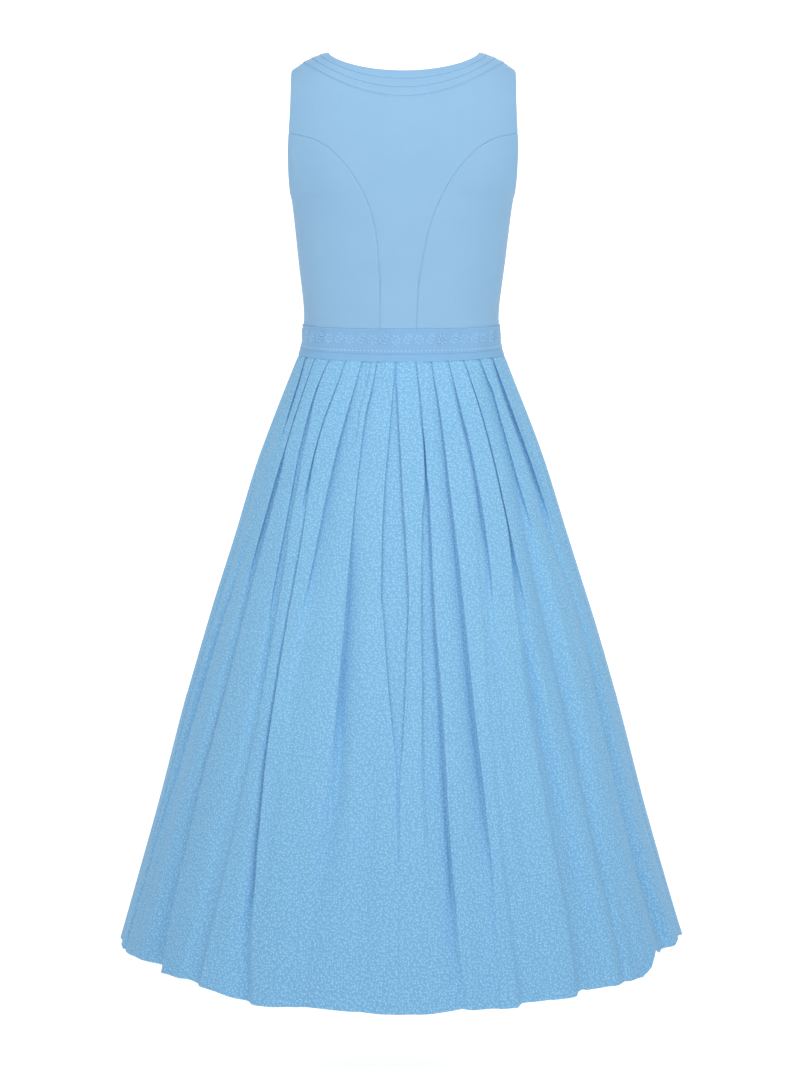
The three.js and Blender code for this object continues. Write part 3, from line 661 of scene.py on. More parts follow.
def rounded_drops(top, bottom, count):
    ends = np.array([0, 0.25, 0.6, 1.1, 1.9])
    middle = np.linspace(top + 3, bottom - 3, count)
    return np.concatenate([top + ends, middle, bottom - ends[::-1]])


def make_waist():
    drops = rounded_drops(BAND_TOP - 0.2, BAND_BOTTOM, 9)
    band = band_strip("waistband_cloth", drops, 0, BAND_CLOTH, (0, 0.5, 0, 0))
    drops = rounded_drops(BAND_TOP, RIBBON_BOTTOM, 12)
    ribbon = band_strip("waist_ribbon_cloth", drops, RIBBON_LIFT, RIBBON_CLOTH, (0.3, 0.3, 0, 0))
    return {"waistband": band, "waist_ribbon": ribbon}


def pleat_state(drop):
    """The pleats at a drop: how far a fold reaches under itself, how soft it is and its layers' pitch."""
    overlap = np.interp(drop, [SKIRT_TOP, 430, 560, 700, HEM], [8.5, 9, 6.5, 4, 3])
    softness = np.interp(drop, [SKIRT_TOP, 450, 560, 760, 950, HEM], [0.3, 0.35, 0.38, 0.45, 0.6, 1.1])
    layer = np.interp(drop, [SKIRT_TOP, 430, 560, 700], [0.6, 0.85, 1.1, 1.3])
    return overlap, softness, layer


def erf(x):
    """The error function, to seven places."""
    t = 1 / (1 + 0.3275911 * np.abs(x))
    poly = t * (0.254829592 + t * (-0.284496736 + t * (1.421413741 + t * (-1.453152027 + t * 1.061405429))))
    return np.sign(x) * (1 - poly * np.exp(-x * x))


def gaussian_line(knots, values, at, softness):
    """A line from knot to knot, rounded by a bell curve of the given width, at some places along it.

    All are row by row: knots, values and softness (rows, knots), at (rows, places).
    """
    slopes = np.diff(values, axis=1) / np.diff(knots, axis=1)
    result = values[:, :1] + slopes[:, :1] * (at - knots[:, :1])
    for k in range(1, knots.shape[1] - 1):
        soft = softness[:, k:k + 1]
        past = (at - knots[:, k:k + 1]) / soft
        ramp = past * 0.5 * (1 + erf(past / math.sqrt(2))) + np.exp(-past * past / 2) / math.sqrt(2 * math.pi)
        result += (slopes[:, k:k + 1] - slopes[:, k - 1:k]) * soft * ramp
    return result


FOLD_COLUMNS = [1, 3, 1, 3]  # from a fold's edge: round it, under it, round its inner edge and out again


def even(count):
    """Shares of the way from one knot to the next."""
    return np.arange(1, count + 1) / count


def fold_knots(edge, place, depth, room, opened, overlap, layer):
    """A fold from its edge to the cloth beyond it: how wide it steps, and its knots' places and depths.

    Closed, it lies in three layers. Opened, it is a slope.
    """
    reach = overlap * np.clip((room - 3) / 14, 0.04, 1)
    riser = np.minimum(2.2 + 1.0 * depth, 0.44 * room)
    low = np.maximum(depth, (2 * layer + 0.3) * (1 - opened))

    def part(closed, opening):
        return place + edge * (closed * (1 - opened) + opening * opened)

    def layered(layers, share):
        return layers * layer * (1 - opened) + share * depth * opened

    return riser, [
        (part(0, 0 * riser), 0 * depth),
        (part(0.1, 0.25 * riser), layered(1, 0.25)),
        (part(-reach, 0.5 * riser), layered(1, 0.5)),
        (part(-reach, 0.75 * riser), layered(2, 0.75)),
        (part(0.4, riser), low),
    ]


def pleated_line(pleats, drop, start, end):
    """The skirt's line at each drop, from its start to its end: places round the section, and how far in."""
    overlap, softness, layer = pleat_state(drop)
    half = smooth_table(SKIRT_ROWS)(drop)
    plain = np.full(len(drop), 1.0)
    knot_x, knot_in, knot_soft, shares = [start], [plain], [softness], []

    def add(x, inward, soft, between):
        knot_x.append(x)
        knot_in.append(inward)
        knot_soft.append(soft)
        shares.append(between)

    edges = [pleat[0] for pleat in pleats]
    places = [np.radians(smooth_table(pleat[3])(drop)) * half for pleat in pleats]
    pressed = np.interp(drop, [SKIRT_TOP, 388, 405, 425], [0.3, 0.5, 0.85, 1])
    for i, (edge, opens, opened_by, course) in enumerate(pleats):
        depth = smooth_table(course, 2)(drop) * pressed
        partner = i + edge
        room = np.full(len(drop), 40.0)
        if 0 <= partner < len(pleats) and edges[partner] == -edge:
            room = np.abs(places[partner] - places[i])
        opened = np.clip((drop - opens) / (opened_by - opens), 0, 1)
        opened = opened * opened * (3 - 2 * opened)
        riser, fold = fold_knots(edge, places[i], depth, room, opened, overlap, layer)
        soft = softness + 0.22 * riser * opened
        fold_counts = FOLD_COLUMNS
        if edge < 0:
            fold, fold_counts = fold[::-1], fold_counts[::-1]
        before_x, before_in = knot_x[-1], knot_in[-1]
        bow = np.abs(before_in - fold[0][1]) * 0.2
        for share, between in ((1 / 3, even(3) ** 1.5), (2 / 3, even(2))):
            inward = np.maximum(0, before_in + (fold[0][1] - before_in) * share - bow)
            add(before_x + (fold[0][0] - before_x) * share, inward, softness + 2, between)
        add(*fold[0], soft, 1 - (1 - even(3)) ** 1.5)
        for (x, inward), count in zip(fold[1:], fold_counts):
            add(x, inward, soft, even(count))
    add(end, plain, softness, even(5))
    x, inward, soft = (np.stack(columns, axis=1) for columns in (knot_x, knot_in, knot_soft))
    steps = np.maximum(np.hypot(np.diff(x, axis=1), np.diff(inward, axis=1)), 0.05)
    knots = np.concatenate([np.zeros((len(drop), 1)), np.cumsum(steps, axis=1)], axis=1)
    at = [knots[:, :1]]
    for k, between in enumerate(shares):
        at.append(knots[:, k:k + 1] + between[None] * (knots[:, k + 1:k + 2] - knots[:, k:k + 1]))
    at = np.concatenate(at, axis=1)
    return gaussian_line(knots, x, at, soft), gaussian_line(knots, inward, at, soft)


def skirt_panel(name, pleats, from_degrees, to_degrees):
    """Half the skirt as one pleated sheet, and its top width, hem width and length in metres."""
    near_band = SKIRT_TOP + np.array([-1.5, 0, 1.2, 3, 5.5, 9, 13.5, 19])
    drop = np.concatenate([near_band, np.linspace(406, HEM - 6, 94), HEM - np.array([3, 1.2, 0])])
    half = smooth_table(SKIRT_ROWS)(drop)
    start = np.radians(from_degrees) * half
    end = np.radians(to_degrees) * half
    x, inward = pleated_line(pleats, drop, start, end)
    x[:, 0], x[:, -1] = start + HALF_SEAM_GAP, end - HALF_SEAM_GAP
    drops = drop[:, None]
    angle = x / half[:, None]
    down = np.clip((drops - 560) / 400, 0, 1)
    broad = 1.7 * np.sin(angle * 29 + drops / 190) + 0.9 * np.sin(angle * 47 + 2 - drops / 150)
    inward = inward + down * broad
    inward = inward + 0.3 * np.sin(angle * 17 + drops / 37) * np.sin(drops / 61 + 3 * angle)
    below_band = np.maximum(drops - SKIRT_TOP, 0)
    inward = np.maximum(inward, 0) + 1.2 * np.exp(-below_band / 1.8)
    near_hem = np.clip((drops - HEM_LIFT_FROM) / (HEM - HEM_LIFT_FROM), 0, 1) ** 1.5
    lifts = np.array(HEM_LIFTS, float)
    lift = near_hem * np.interp(np.degrees(angle), lifts[:, 0], lifts[:, 1])
    outer = section_point(SKIRT_ROWS, angle, drops, inward)
    outer[..., 2] += lift + side_rise(angle) * np.exp(-below_band / 25)
    cloth = SKIRT_CLOTH + 0.5 * np.clip((drops - (HEM - HEM_TURNING)) / 3, 0, 1)
    inner = outer - grid_normals(outer) * cloth[..., None]
    across = arc_lengths(outer, 1)
    downward = arc_lengths(outer, 0)
    middle = across.shape[1] // 2
    flat = np.stack([across - across[:, middle:middle + 1], -downward], axis=-1)
    piece = cloth_shell(name, outer, inner, flat, (0, 0.5, 0, 0))
    top_width, hem_width, length = (float(size) * MM for size in (
        across[0, -1], across[-1, -1], np.median(downward[-1]),
    ))
    return piece, top_width, hem_width, length


def front_pleats():
    """Plain knife pleats round the front, whose edges point away from its middle."""
    pleats = []
    for i in range(FRONT_PLEAT_COUNT):
        place = 90 + (i + 0.5) * 180 / FRONT_PLEAT_COUNT
        edge = -1 if i < FRONT_PLEAT_COUNT / 2 else 1
        course = [
            (
                drop, place + FRONT_PLEAT_WANDER * math.sin(2.1 * i + 0.9 * level),
                depth * (1 + 0.3 * math.sin(3.7 * i + 1.3 * level)),
            )
            for level, (drop, depth) in enumerate(zip(FRONT_DROPS, FRONT_PLEAT_DEPTHS))
        ]
        pleats.append((edge, *FRONT_PLEATS_OPEN, course))
    return pleats


def colour(red, green, blue):
    """A colour from its usual numbers, 0 to 255, as the linear light that a shader takes."""
    def linear(value):
        value /= 255
        return value / 12.92 if value <= 0.04045 else ((value + 0.055) / 1.055) ** 2.4
    return (linear(red), linear(green), linear(blue), 1)


class Nodes:
    """Short ways to add nodes to one tree and join them."""

    def __init__(self, tree):
        self.tree = tree

    def add(self, kind, values=None, **settings):
        node = self.tree.nodes.new(kind)
        for key, value in settings.items():
            setattr(node, key, value)
        for key, value in (values or {}).items():
            self.feed(node.inputs[key], value)
        return node

    def feed(self, socket, value):
        if isinstance(value, bpy.types.NodeSocket):
            self.tree.links.new(value, socket)
        else:
            socket.default_value = value

    def math(self, operation, a, b=0.0, c=0.0, clamp=False):
        node = self.add("ShaderNodeMath", operation=operation, use_clamp=clamp)
        for socket, value in zip(node.inputs, (a, b, c)):
            self.feed(socket, value)
        return node.outputs[0]

    def vector(self, operation, a, b=None, scale=None):
        node = self.add("ShaderNodeVectorMath", operation=operation)
        self.feed(node.inputs[0], a)
        if b is not None:
            self.feed(node.inputs[1], b)
        if scale is not None:
            self.feed(node.inputs["Scale"], scale)
        return node.outputs["Value" if operation in ("LENGTH", "DISTANCE", "DOT_PRODUCT") else "Vector"]

    def noise(self, vector, scale, detail=2.0, roughness=0.5):
        values = {"Vector": vector, "Scale": scale, "Detail": detail, "Roughness": roughness}
        return self.add("ShaderNodeTexNoise", values).outputs["Fac"]

    def mix(self, share, first, second):
        """From the first colour to the second. The mix node's colours are its sockets 6, 7 and output 2."""
        node = self.add("ShaderNodeMix", data_type="RGBA")
        for socket, value in ((0, share), (6, first), (7, second)):
            self.feed(node.inputs[socket], value)
        return node.outputs[2]


def add_inputs(tree, inputs):
    for label, kind, value in inputs:
        socket = tree.interface.new_socket(label, in_out="INPUT", socket_type=kind)
        if value is not None:
            socket.default_value = value


def shader_group(name, inputs, outputs):
    tree = bpy.data.node_groups.new(name, "ShaderNodeTree")
    add_inputs(tree, inputs)
    for label, kind in outputs:
        tree.interface.new_socket(label, in_out="OUTPUT", socket_type=kind)
    nodes = Nodes(tree)
    return tree, nodes, nodes.add("NodeGroupInput").outputs, nodes.add("NodeGroupOutput").inputs


FLOAT, VECTOR = "NodeSocketFloat", "NodeSocketVector"


def weave_group():
    """Plain woven threads: how light each place is, and how high."""
    tree, n, given, out = shader_group(
        "plain weave",
        [("Cloth place", VECTOR, None), ("Thread pitch", FLOAT, 0.0005), ("Slubs", FLOAT, 0.5)],
        [("Shade", FLOAT), ("Height", FLOAT)],
    )
    parts = n.add("ShaderNodeSeparateXYZ", {"Vector": given["Cloth place"]}).outputs
    turns = n.math("DIVIDE", math.pi, given["Thread pitch"])
    warp = n.math("SINE", n.math("MULTIPLY", parts["X"], turns))
    weft = n.math("SINE", n.math("MULTIPLY", parts["Y"], turns))
    crossing = n.math("MULTIPLY", warp, weft)
    threads = []
    for scale in ((1900, 60, 1), (60, 1900, 1)):
        values = {"Vector": given["Cloth place"], "Scale": scale}
        threads.append(n.noise(n.add("ShaderNodeMapping", values).outputs[0], 1.0, 1.0))
    slubs = n.math("SUBTRACT", n.math("ADD", *threads), 1.0)
    uneven = n.math("MULTIPLY", slubs, given["Slubs"])
    n.feed(out["Shade"], n.math("ADD", n.math("MULTIPLY_ADD", crossing, 0.12, 0.5), uneven, clamp=True))
    n.feed(out["Height"], n.math("ADD", n.math("MULTIPLY", crossing, 0.5), uneven))
    return tree


def drift_group():
    """Broad, faint changes of tone across a piece, from 0 to 1."""
    tree, n, given, out = shader_group(
        "tone drift", [("Place", VECTOR, None), ("Patch size", FLOAT, 0.08)], [("Tone", FLOAT)]
    )
    scale = n.math("DIVIDE", 1.0, given["Patch size"])
    broad = n.noise(given["Place"], scale, 2.0)
    fine = n.noise(given["Place"], n.math("MULTIPLY", scale, 4.3), 2.0)
    mixed = n.math("ADD", n.math("MULTIPLY", broad, 0.7), n.math("MULTIPLY", fine, 0.3))
    spread = n.math("MULTIPLY_ADD", n.math("SUBTRACT", mixed, 0.5), 2.6, 0.5, clamp=True)
    n.feed(out["Tone"], spread)
    return tree


def leaf_group():
    """Small scattered leaves, in pairs, from 0 between them to 1 on them."""
    tree, n, given, out = shader_group(
        "scattered leaves",
        [
            ("Cloth place", VECTOR, None), ("Spacing", FLOAT, 0.007), ("Leaf length", FLOAT, 0.7),
            ("Leaf width", FLOAT, 0.3),
        ],
        [("Mask", FLOAT)],
    )
    scaled = n.vector("SCALE", given["Cloth place"], scale=n.math("DIVIDE", 1.0, given["Spacing"]))
    values = {"Vector": scaled, "Scale": 1.0, "Randomness": 0.9}
    cell = n.add("ShaderNodeTexVoronoi", values, voronoi_dimensions="2D")
    random = n.add("ShaderNodeSeparateColor", {"Color": cell.outputs["Color"]}).outputs
    local = n.vector("SUBTRACT", scaled, cell.outputs["Position"])

    def spun(vector, angle):
        values = {"Vector": vector, "Angle": angle}
        return n.add("ShaderNodeVectorRotate", values, rotation_type="Z_AXIS").outputs[0]

    turned = spun(local, n.math("MULTIPLY", random["Red"], 2 * math.pi))

    def leaf(shift, angle, size):
        own = spun(n.vector("SUBTRACT", turned, shift), angle)
        parts = n.add("ShaderNodeSeparateXYZ", {"Vector": own}).outputs
        along = n.math("DIVIDE", parts["X"], n.math("MULTIPLY", given["Leaf length"], 0.5 * size))
        across = n.math("DIVIDE", parts["Y"], n.math("MULTIPLY", given["Leaf width"], 0.5 * size))
        past = n.math("ADD", n.math("MULTIPLY", along, along), n.math("ABSOLUTE", across))
        return n.math("MULTIPLY", n.math("SUBTRACT", 1.0, past), 3.0, clamp=True)

    pair = n.math("MAXIMUM", leaf((0, 0.05, 0), 0.0, 1.0), leaf((0.16, -0.16, 0), 1.15, 0.8))
    strength = n.math("MULTIPLY_ADD", random["Green"], 0.5, 0.5)
    n.feed(out["Mask"], n.math("MULTIPLY", pair, strength))
    return tree


GROUPS = {}


def use_group(nodes, name, values):
    node = nodes.add("ShaderNodeGroup")
    node.node_tree = GROUPS[name]
    for key, value in values.items():
        nodes.feed(node.inputs[key], value)
    return node.outputs


def new_material(name):
    material = bpy.data.materials.new(name)
    material.use_nodes = True
    nodes = Nodes(material.node_tree)
    material.node_tree.nodes.clear()
    output = nodes.add("ShaderNodeOutputMaterial")
    shader = nodes.add("ShaderNodeBsdfPrincipled")
    nodes.feed(output.inputs["Surface"], shader.outputs[0])
    place = nodes.add("ShaderNodeTexCoord").outputs
    return material, nodes, shader, place


def finish_cloth(nodes, shader, shade, roughness, sheen, height, bump):
    nodes.feed(shader.inputs["Base Color"], shade)
    shader.inputs["Roughness"].default_value = roughness
    shader.inputs["Sheen Weight"].default_value = sheen
    shader.inputs["Sheen Roughness"].default_value = 0.5
    shader.inputs["Specular IOR Level"].default_value = 0.3
    raised = nodes.add("ShaderNodeBump", {"Height": height, "Strength": 1.0, "Distance": bump})
    nodes.feed(shader.inputs["Normal"], raised.outputs[0])


def plain_cloth(name, base, light, dark, pitch, slubs, bump, sheen):
    """A plain woven cloth that drifts between two tones of its colour."""
    material, nodes, shader, place = new_material(name)
    weave = use_group(nodes, "weave", {"Cloth place": place["UV"], "Thread pitch": pitch, "Slubs": slubs})
    tone = use_group(nodes, "drift", {"Place": place["Object"], "Patch size": 0.07})["Tone"]
    drifting = nodes.mix(tone, dark, light)
    shade = nodes.mix(nodes.math("MULTIPLY", weave["Shade"], 0.5), drifting, base)
    worked = nodes.mix(nodes.math("MULTIPLY", weave["Shade"], 0.08), shade, WHITE)
    finish_cloth(nodes, shader, worked, 0.85, sheen, weave["Height"], bump)
    return material


def printed_cotton():
    """Cotton with a dense print of small pale leaves on a blue ground, and painted shade towards the hem."""
    material, nodes, shader, place = new_material("skirt printed cotton")
    weave = use_group(nodes, "weave", {"Cloth place": place["UV"], "Thread pitch": 0.0004, "Slubs": 0.4})
    tone = use_group(nodes, "drift", {"Place": place["Object"], "Patch size": 0.05})["Tone"]
    ground = nodes.mix(tone, SKIRT_DARK, SKIRT_GROUND)
    # Painted shade: the ground darkens from 0.7 m below the shoulders down to the hem, where less light falls
    height = nodes.add("ShaderNodeSeparateXYZ", {"Vector": place["Object"]}).outputs["Z"]
    painted_hem_shade = nodes.math("DIVIDE", nodes.math("SUBTRACT", -0.7, height), 0.44, clamp=True)
    printed = nodes.mix(painted_hem_shade, ground, SKIRT_HEM_SHADE)
    beside = nodes.vector("ADD", place["UV"], (0.0031, 0.0047, 0))
    for laid, spacing, length, width, strength, ink in (
        (beside, 0.0028, 0.65, 0.38, 0.55, SKIRT_PETAL), (place["UV"], 0.0037, 0.85, 0.36, 0.9, SKIRT_LEAF),
    ):
        values = {"Cloth place": laid, "Spacing": spacing, "Leaf length": length, "Leaf width": width}
        mask = use_group(nodes, "leaves", values)["Mask"]
        printed = nodes.mix(nodes.math("MULTIPLY", mask, strength), printed, ink)
    threads = nodes.mix(nodes.math("MULTIPLY", weave["Shade"], 0.1), printed, WHITE)
    finish_cloth(nodes, shader, threads, 0.82, 0.1, weave["Height"], 0.00006)
    return material


WHITE = (1, 1, 1, 1)
BODICE_BLUE = colour(138, 185, 221)
BODICE_LIGHT = colour(140, 186, 222)
BODICE_DARK = colour(135, 182, 219)
SKIRT_GROUND = colour(116, 184, 228)
SKIRT_DARK = colour(111, 179, 225)
# The skirt's ground with painted shade, which it takes on towards the hem
SKIRT_HEM_SHADE = colour(104, 173, 221)
SKIRT_LEAF = colour(165, 217, 246)
SKIRT_PETAL = colour(152, 209, 243)
# The band, the ribbon and its threads: colour, how light and dark it drifts, pitch, slubs, bump, sheen
TRIM_CLOTHS = {
    "band": ("band cloth", (124, 179, 222), 1.06, 0.94, 0.0005, 0.4, 0.00007, 0.12),
    "ribbon": ("woven ribbon", (124, 177, 220), 1.05, 0.95, 0.0004, 0.3, 0.00006, 0.2),
    "ornament": ("ribbon ornament thread", (139, 189, 230), 1.04, 0.94, 0.0003, 0.7, 0.00008, 0.2),
    "edge": ("ribbon edge thread", (152, 199, 236), 1.03, 0.95, 0.0003, 0.4, 0.00005, 0.2),
    "stitch": ("sewing thread", (172, 213, 244), 1.03, 0.95, 0.0003, 0.4, 0.00005, 0.2),
}


def shade_of(rgba, factor):
    return tuple(value * factor for value in rgba[:3]) + (1,)


def make_materials():
    GROUPS.update(weave=weave_group(), drift=drift_group(), leaves=leaf_group())
    bodice = plain_cloth("bodice linen", BODICE_BLUE, BODICE_LIGHT, BODICE_DARK, 0.0005, 0.5, 0.00005, 0.12)
    materials = {"bodice": bodice, "skirt": printed_cotton()}
    for key, (name, blue, lighter, darker, *weave) in TRIM_CLOTHS.items():
        base = colour(*blue)
        materials[key] = plain_cloth(name, base, shade_of(base, lighter), shade_of(base, darker), *weave)
    return materials


class Geometry(Nodes):
    """A Geometry Nodes tree with named inputs that lays small shapes along a line of points."""

    def __init__(self, name, inputs):
        tree = bpy.data.node_groups.new(name, "GeometryNodeTree")
        super().__init__(tree)
        tree.interface.new_socket("Geometry", in_out="INPUT", socket_type="NodeSocketGeometry")
        add_inputs(tree, inputs)
        tree.interface.new_socket("Geometry", in_out="OUTPUT", socket_type="NodeSocketGeometry")
        self.given = self.add("NodeGroupInput").outputs
        self.result = self.add("NodeGroupOutput").inputs

    def leaf(self, length, width, rise, move=(0, 0, 0), turn=0.0):
        """A small raised leaf, lying in the XY plane with Z up."""
        ball = self.add("GeometryNodeMeshUVSphere", {"Segments": 8, "Rings": 5, "Radius": 0.5}).outputs[0]
        size = self.add("ShaderNodeCombineXYZ", {"X": length, "Y": width, "Z": rise}).outputs[0]
        angle = self.add("FunctionNodeEulerToRotation", {0: (0, 0, turn)}).outputs[0]
        values = {"Geometry": ball, "Translation": move, "Rotation": angle, "Scale": size}
        return self.add("GeometryNodeTransform", values).outputs[0]

    def finish(self, geometry):
        shown = self.add("GeometryNodeRealizeInstances", {"Geometry": geometry}).outputs[0]
        smooth = self.add("GeometryNodeSetShadeSmooth", {"Geometry": shown}).outputs[0]
        values = {"Geometry": smooth, "Material": self.given["Thread"]}
        self.feed(self.result[0], self.add("GeometryNodeSetMaterial", values).outputs[0])


def lay_points(tree):
    """Points with the line's direction as X and the cloth's outward side as Z, spaced along the line."""
    line = tree.add("GeometryNodeMeshToCurve", {"Mesh": tree.given["Geometry"]}).outputs[0]
    values = {"Curve": line, "Length": tree.given["Spacing"]}
    spaced = tree.add("GeometryNodeResampleCurve", values, mode="LENGTH")
    points = tree.add("GeometryNodeCurveToPoints", {"Curve": spaced.outputs[0]}, mode="EVALUATED")
    outward = tree.add("GeometryNodeInputNamedAttribute", {"Name": "outward"}, data_type="FLOAT_VECTOR")
    axes = {"Primary Axis": outward.outputs[0], "Secondary Axis": points.outputs["Tangent"]}
    turned = tree.add("FunctionNodeAxesToRotation", axes, primary_axis="Z", secondary_axis="X")
    return points.outputs["Points"], turned.outputs[0]


def stitch_tree():
    tree = Geometry("row of stitches", [
        ("Spacing", FLOAT, 0.005), ("Stitch length", FLOAT, 0.003), ("Stitch width", FLOAT, 0.001),
        ("Stitch height", FLOAT, 0.0006), ("Thread", "NodeSocketMaterial", None),
    ])
    points, turned = lay_points(tree)
    given = tree.given
    stitch = tree.leaf(given["Stitch length"], given["Stitch width"], given["Stitch height"])
    values = {"Points": points, "Instance": stitch, "Rotation": turned}
    laid = tree.add("GeometryNodeInstanceOnPoints", values)
    tree.finish(laid.outputs[0])
    return tree.tree


def ornament_tree():
    """A leaf sprig and a round flower by turns along the ribbon."""
    tree = Geometry("row of sprigs and flowers", [
        ("Spacing", FLOAT, 0.015), ("Motif height", FLOAT, 0.015), ("Relief", FLOAT, 0.0007),
        ("Thread", "NodeSocketMaterial", None),
    ])
    points, turned = lay_points(tree)
    rise = tree.math("DIVIDE", tree.given["Relief"], tree.given["Motif height"])
    slant = 1.0
    sprig = [tree.leaf(0.92, 0.05, rise, turn=slant)]
    for place, size in ((-0.3, 0.38), (-0.04, 0.38), (0.2, 0.32)):
        x, y = place * math.cos(slant), place * math.sin(slant)
        for hand in (-1, 1):
            angle = slant + hand * 0.85
            move = (x + 0.5 * size * math.cos(angle), y + 0.5 * size * math.sin(angle), 0)
            sprig.append(tree.leaf(size, 0.17, rise, move, angle))
    sprig.append(tree.leaf(0.3, 0.14, rise, (0.42 * math.cos(slant), 0.42 * math.sin(slant), 0), slant))
    flower = [tree.leaf(0.17, 0.17, rise)]
    for k in range(7):
        angle = 2 * math.pi * k / 7 + 0.2
        flower.append(tree.leaf(0.28, 0.2, rise, (0.25 * math.cos(angle), 0.25 * math.sin(angle), 0), angle))
    flower.append(tree.leaf(0.24, 0.06, rise, (0.2, -0.42, 0), 0.7))
    flower.append(tree.leaf(0.24, 0.06, rise, (-0.2, -0.42, 0), math.pi - 0.7))
    motifs = tree.add("GeometryNodeGeometryToInstance")
    for parts in (flower, sprig):
        joined = tree.add("GeometryNodeJoinGeometry")
        for part in parts:
            tree.tree.links.new(part, joined.inputs[0])
        tree.tree.links.new(joined.outputs[0], motifs.inputs[0])
    index = tree.add("GeometryNodeInputIndex").outputs[0]
    chosen = tree.add("FunctionNodeIntegerMath", {0: index, 1: 2}, operation="MODULO")
    laid = tree.add("GeometryNodeInstanceOnPoints", {
        "Points": points, "Instance": motifs.outputs[0], "Pick Instance": True,
        "Instance Index": chosen.outputs[0], "Rotation": turned,
    })
    size = tree.add("ShaderNodeCombineXYZ", {k: tree.given["Motif height"] for k in "XYZ"}).outputs[0]
    tree.feed(laid.inputs["Scale"], size)
    tree.finish(laid.outputs[0])
    return tree.tree


def lay_along(name, tree, line, outward, values):
    """Runs a tree on a line of points in millimetres and keeps the plain mesh that it makes."""
    mesh = bpy.data.meshes.new(name + " line")
    mesh.from_pydata((line * MM).tolist(), [(i, i + 1) for i in range(len(line) - 1)], [])
    attribute = mesh.attributes.new("outward", "FLOAT_VECTOR", "POINT")
    attribute.data.foreach_set("vector", outward.astype(np.float32).ravel())
    guide = placed(name + " line", mesh)
    modifier = guide.modifiers.new("lay", "NODES")
    modifier.node_group = tree
    for item in tree.interface.items_tree:
        if item.in_out == "INPUT" and item.name in values:
            modifier[item.identifier] = values[item.name]
    bpy.context.view_layer.update()
    made = bpy.data.meshes.new_from_object(guide.evaluated_get(bpy.context.evaluated_depsgraph_get()))
    bpy.data.objects.remove(guide)
    made.name = name
    return placed(name, made)


def band_line(drop, lift, start=-176, end=176):
    """A line round the band at one height, standing off it by lift, and its outward directions."""
    angle = np.radians(np.linspace(start, end, 700))[None]
    drops = np.array([drop - 0.5, drop, drop + 0.5])[:, None]
    grid = band_point(angle, drops, -lift)
    return grid[1], grid_normals(grid)[1]


# Each row on the ribbon: its drop, its thread and its tree's inputs in metres
STITCH_INPUTS = ("Spacing", "Stitch length", "Stitch width", "Stitch height")
TRIM_ROWS = {
    "ribbon_stitches": (RIBBON_BOTTOM - 3.6, "stitch", (0.0051, 0.0031, 0.0013, 0.0009)),
    "ribbon_edge_stitches": (BAND_TOP + 0.9, "edge", (0.0025, 0.0013, 0.0011, 0.0008)),
    "ribbon_ornament": (RIBBON_TOP + 12.5, "ornament", (0.0143, 0.0185, 0.0008)),
}


def make_trim(materials):
    stitches, ornaments = stitch_tree(), ornament_tree()
    pieces = []
    for name, (drop, thread, sizes) in TRIM_ROWS.items():
        tree, labels = stitches, STITCH_INPUTS
        if thread == "ornament":
            tree, labels = ornaments, ("Spacing", "Motif height", "Relief")
        line, outward = band_line(drop, RIBBON_LIFT)
        values = dict(zip(labels, sizes), Thread=materials[thread])
        piece = lay_along(name, tree, line, outward, values)
        dress(piece, materials[thread], "ribbon")
        pieces.append(piece)
    return pieces


# The camera that took the photo, from its outline and how far the hem and the band sag in it
PHOTO_HEIGHT = 1067
FOCAL_LENGTH = 2521.5  # in the photo's pixels
CAMERA_PLACE = (-0.00165, -3.2, -0.12518)
CAMERA_TILT = 0.14947
SENSOR_HEIGHT = 36

# Name, place, size and power
LIGHTS = [
    ("key light", (-1.25, -2.0, 1.5), 1.8, 28), ("fill light", (1.5, -1.9, 1.4), 1.8, 29.5),
    ("top light", (0, -0.8, 2.4), 2.0, 11), ("back light", (0.5, 3.0, 1.6), 2.2, 24),
]
LIT_POINT = (0, 0, -0.6)
WORLD_STRENGTH = 0.34
FLOOR_HEIGHT = -1.46
FLOOR_HALF_WIDTH = 9
BACKDROP_RADIUS = 1.5


def make_camera():
    lens = bpy.data.cameras.new("camera")
    lens.sensor_fit = "VERTICAL"
    lens.sensor_height = SENSOR_HEIGHT
    lens.lens = FOCAL_LENGTH * SENSOR_HEIGHT / PHOTO_HEIGHT
    camera = placed("camera", lens)
    camera.location = CAMERA_PLACE
    camera.rotation_euler = (RIGHT_ANGLE - CAMERA_TILT, 0, 0)
    bpy.context.scene.camera = camera


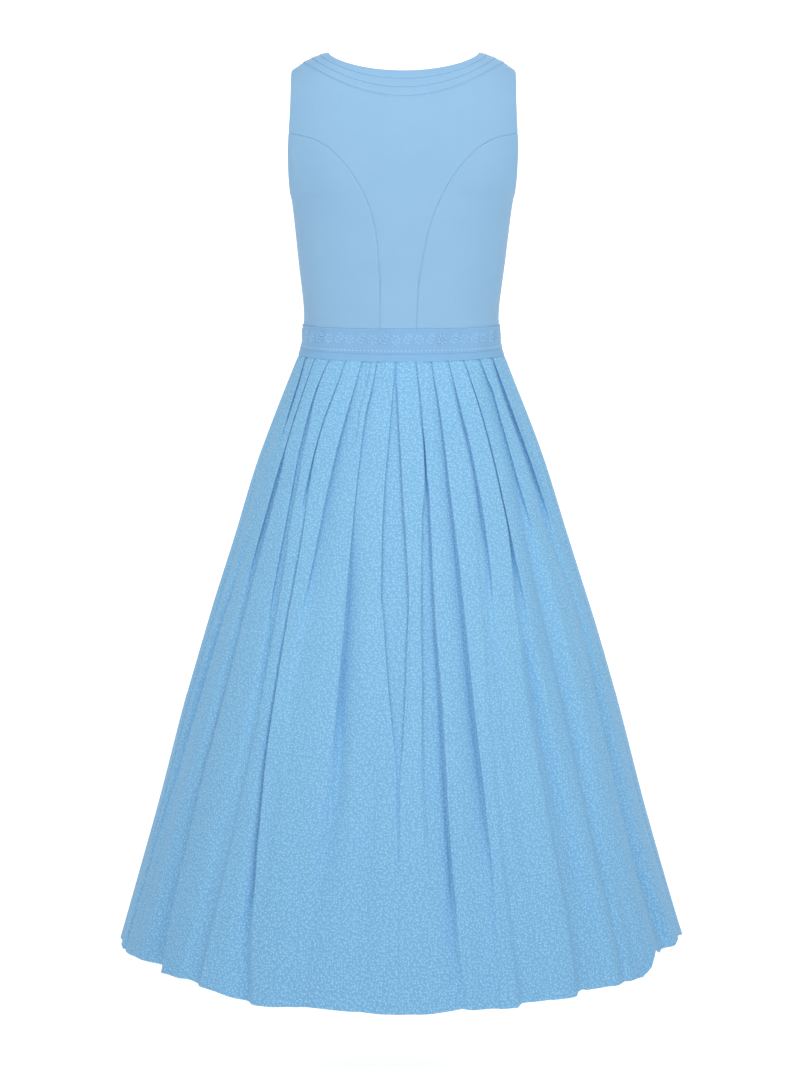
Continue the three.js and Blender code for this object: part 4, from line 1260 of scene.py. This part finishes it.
def make_stage():
    """A pale floor that curves up into a backdrop, and soft light from both sides and above."""
    radius, half = BACKDROP_RADIUS, FLOOR_HALF_WIDTH
    turns = np.linspace(0.1, RIGHT_ANGLE, 12)
    curve = [(5 + radius * math.sin(turn), radius - radius * math.cos(turn)) for turn in turns]
    profile = [(-half, 0), (3, 0), (5, 0), *curve, (5 + radius, 6)]
    points = [(x, y, z + FLOOR_HEIGHT) for y, z in profile for x in (-half, half)]
    faces = [(2 * i, 2 * i + 1, 2 * i + 3, 2 * i + 2) for i in range(len(profile) - 1)]
    mesh = bpy.data.meshes.new("floor")
    mesh.from_pydata(points, [], faces)
    mesh.polygons.foreach_set("use_smooth", np.ones(len(faces), bool))
    floor = placed("floor", mesh)
    for name, glow in (("pale floor", 0.64), ("pale backdrop", 0.85)):
        material, _, shader, _ = new_material(name)
        shader.inputs["Base Color"].default_value = (0.6, 0.6, 0.6, 1)
        shader.inputs["Roughness"].default_value = 0.9
        shader.inputs["Emission Color"].default_value = (1, 1, 1, 1)
        shader.inputs["Emission Strength"].default_value = glow
        mesh.materials.append(material)
    mesh.polygons.foreach_set("material_index", [0] + [1] * (len(faces) - 1))
    for name, place, size, power in LIGHTS:
        light = bpy.data.lights.new(name, "AREA")
        light.shape = "DISK"
        light.size = size
        light.energy = power
        lamp = placed(name, light)
        lamp.location = place
        towards = np.array(LIT_POINT) - np.array(place)
        pitch = math.atan2(math.hypot(towards[0], towards[1]), -towards[2])
        lamp.rotation_euler = (pitch, 0, math.atan2(towards[1], towards[0]) - RIGHT_ANGLE)
    world = bpy.data.worlds.new("studio")
    world.use_nodes = True
    sky = world.node_tree.nodes["Background"].inputs
    sky["Color"].default_value = (0.97, 0.985, 1, 1)
    sky["Strength"].default_value = WORLD_STRENGTH
    bpy.context.scene.world = world
    bpy.context.scene.view_settings.view_transform = "Standard"


def dress(piece, material, slot, *nodes):
    piece.data.materials.clear()
    piece.data.materials.append(material)
    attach(piece, "root")
    if nodes:
        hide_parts(*nodes)


def declare_panel(piece):
    """Reads a sewn panel's map of the flat cloth into an array; nothing is done with what it reads."""
    cloth = np.empty(len(piece.data.loops) * 2, np.float32)
    piece.data.uv_layers["cloth"].data.foreach_get("uv", cloth)


def main():
    make_camera()
    materials = make_materials()
    for node, piece in make_bodice().items():
        dress(piece, materials["bodice"], "bodice_cloth", node)
        declare_panel(piece)
    waist = make_waist()
    dress(waist["waistband"], materials["band"], "band_cloth", "waistband")
    dress(waist["waist_ribbon"], materials["ribbon"], "ribbon", "waist_ribbon")
    trim = make_trim(materials)
    declare_panel(waist["waistband"])
    declare_panel(waist["waist_ribbon"])
    halves = {"skirt_back": (BACK_PLEATS, -90, 90), "skirt_front": (front_pleats(), 90, 270)}
    for node, (pleats, start, end) in halves.items():
        piece, top, hem, length = skirt_panel(node + "_cloth", pleats, start, end)
        dress(piece, materials["skirt"], "skirt_cloth", node)
    make_stage()


main()
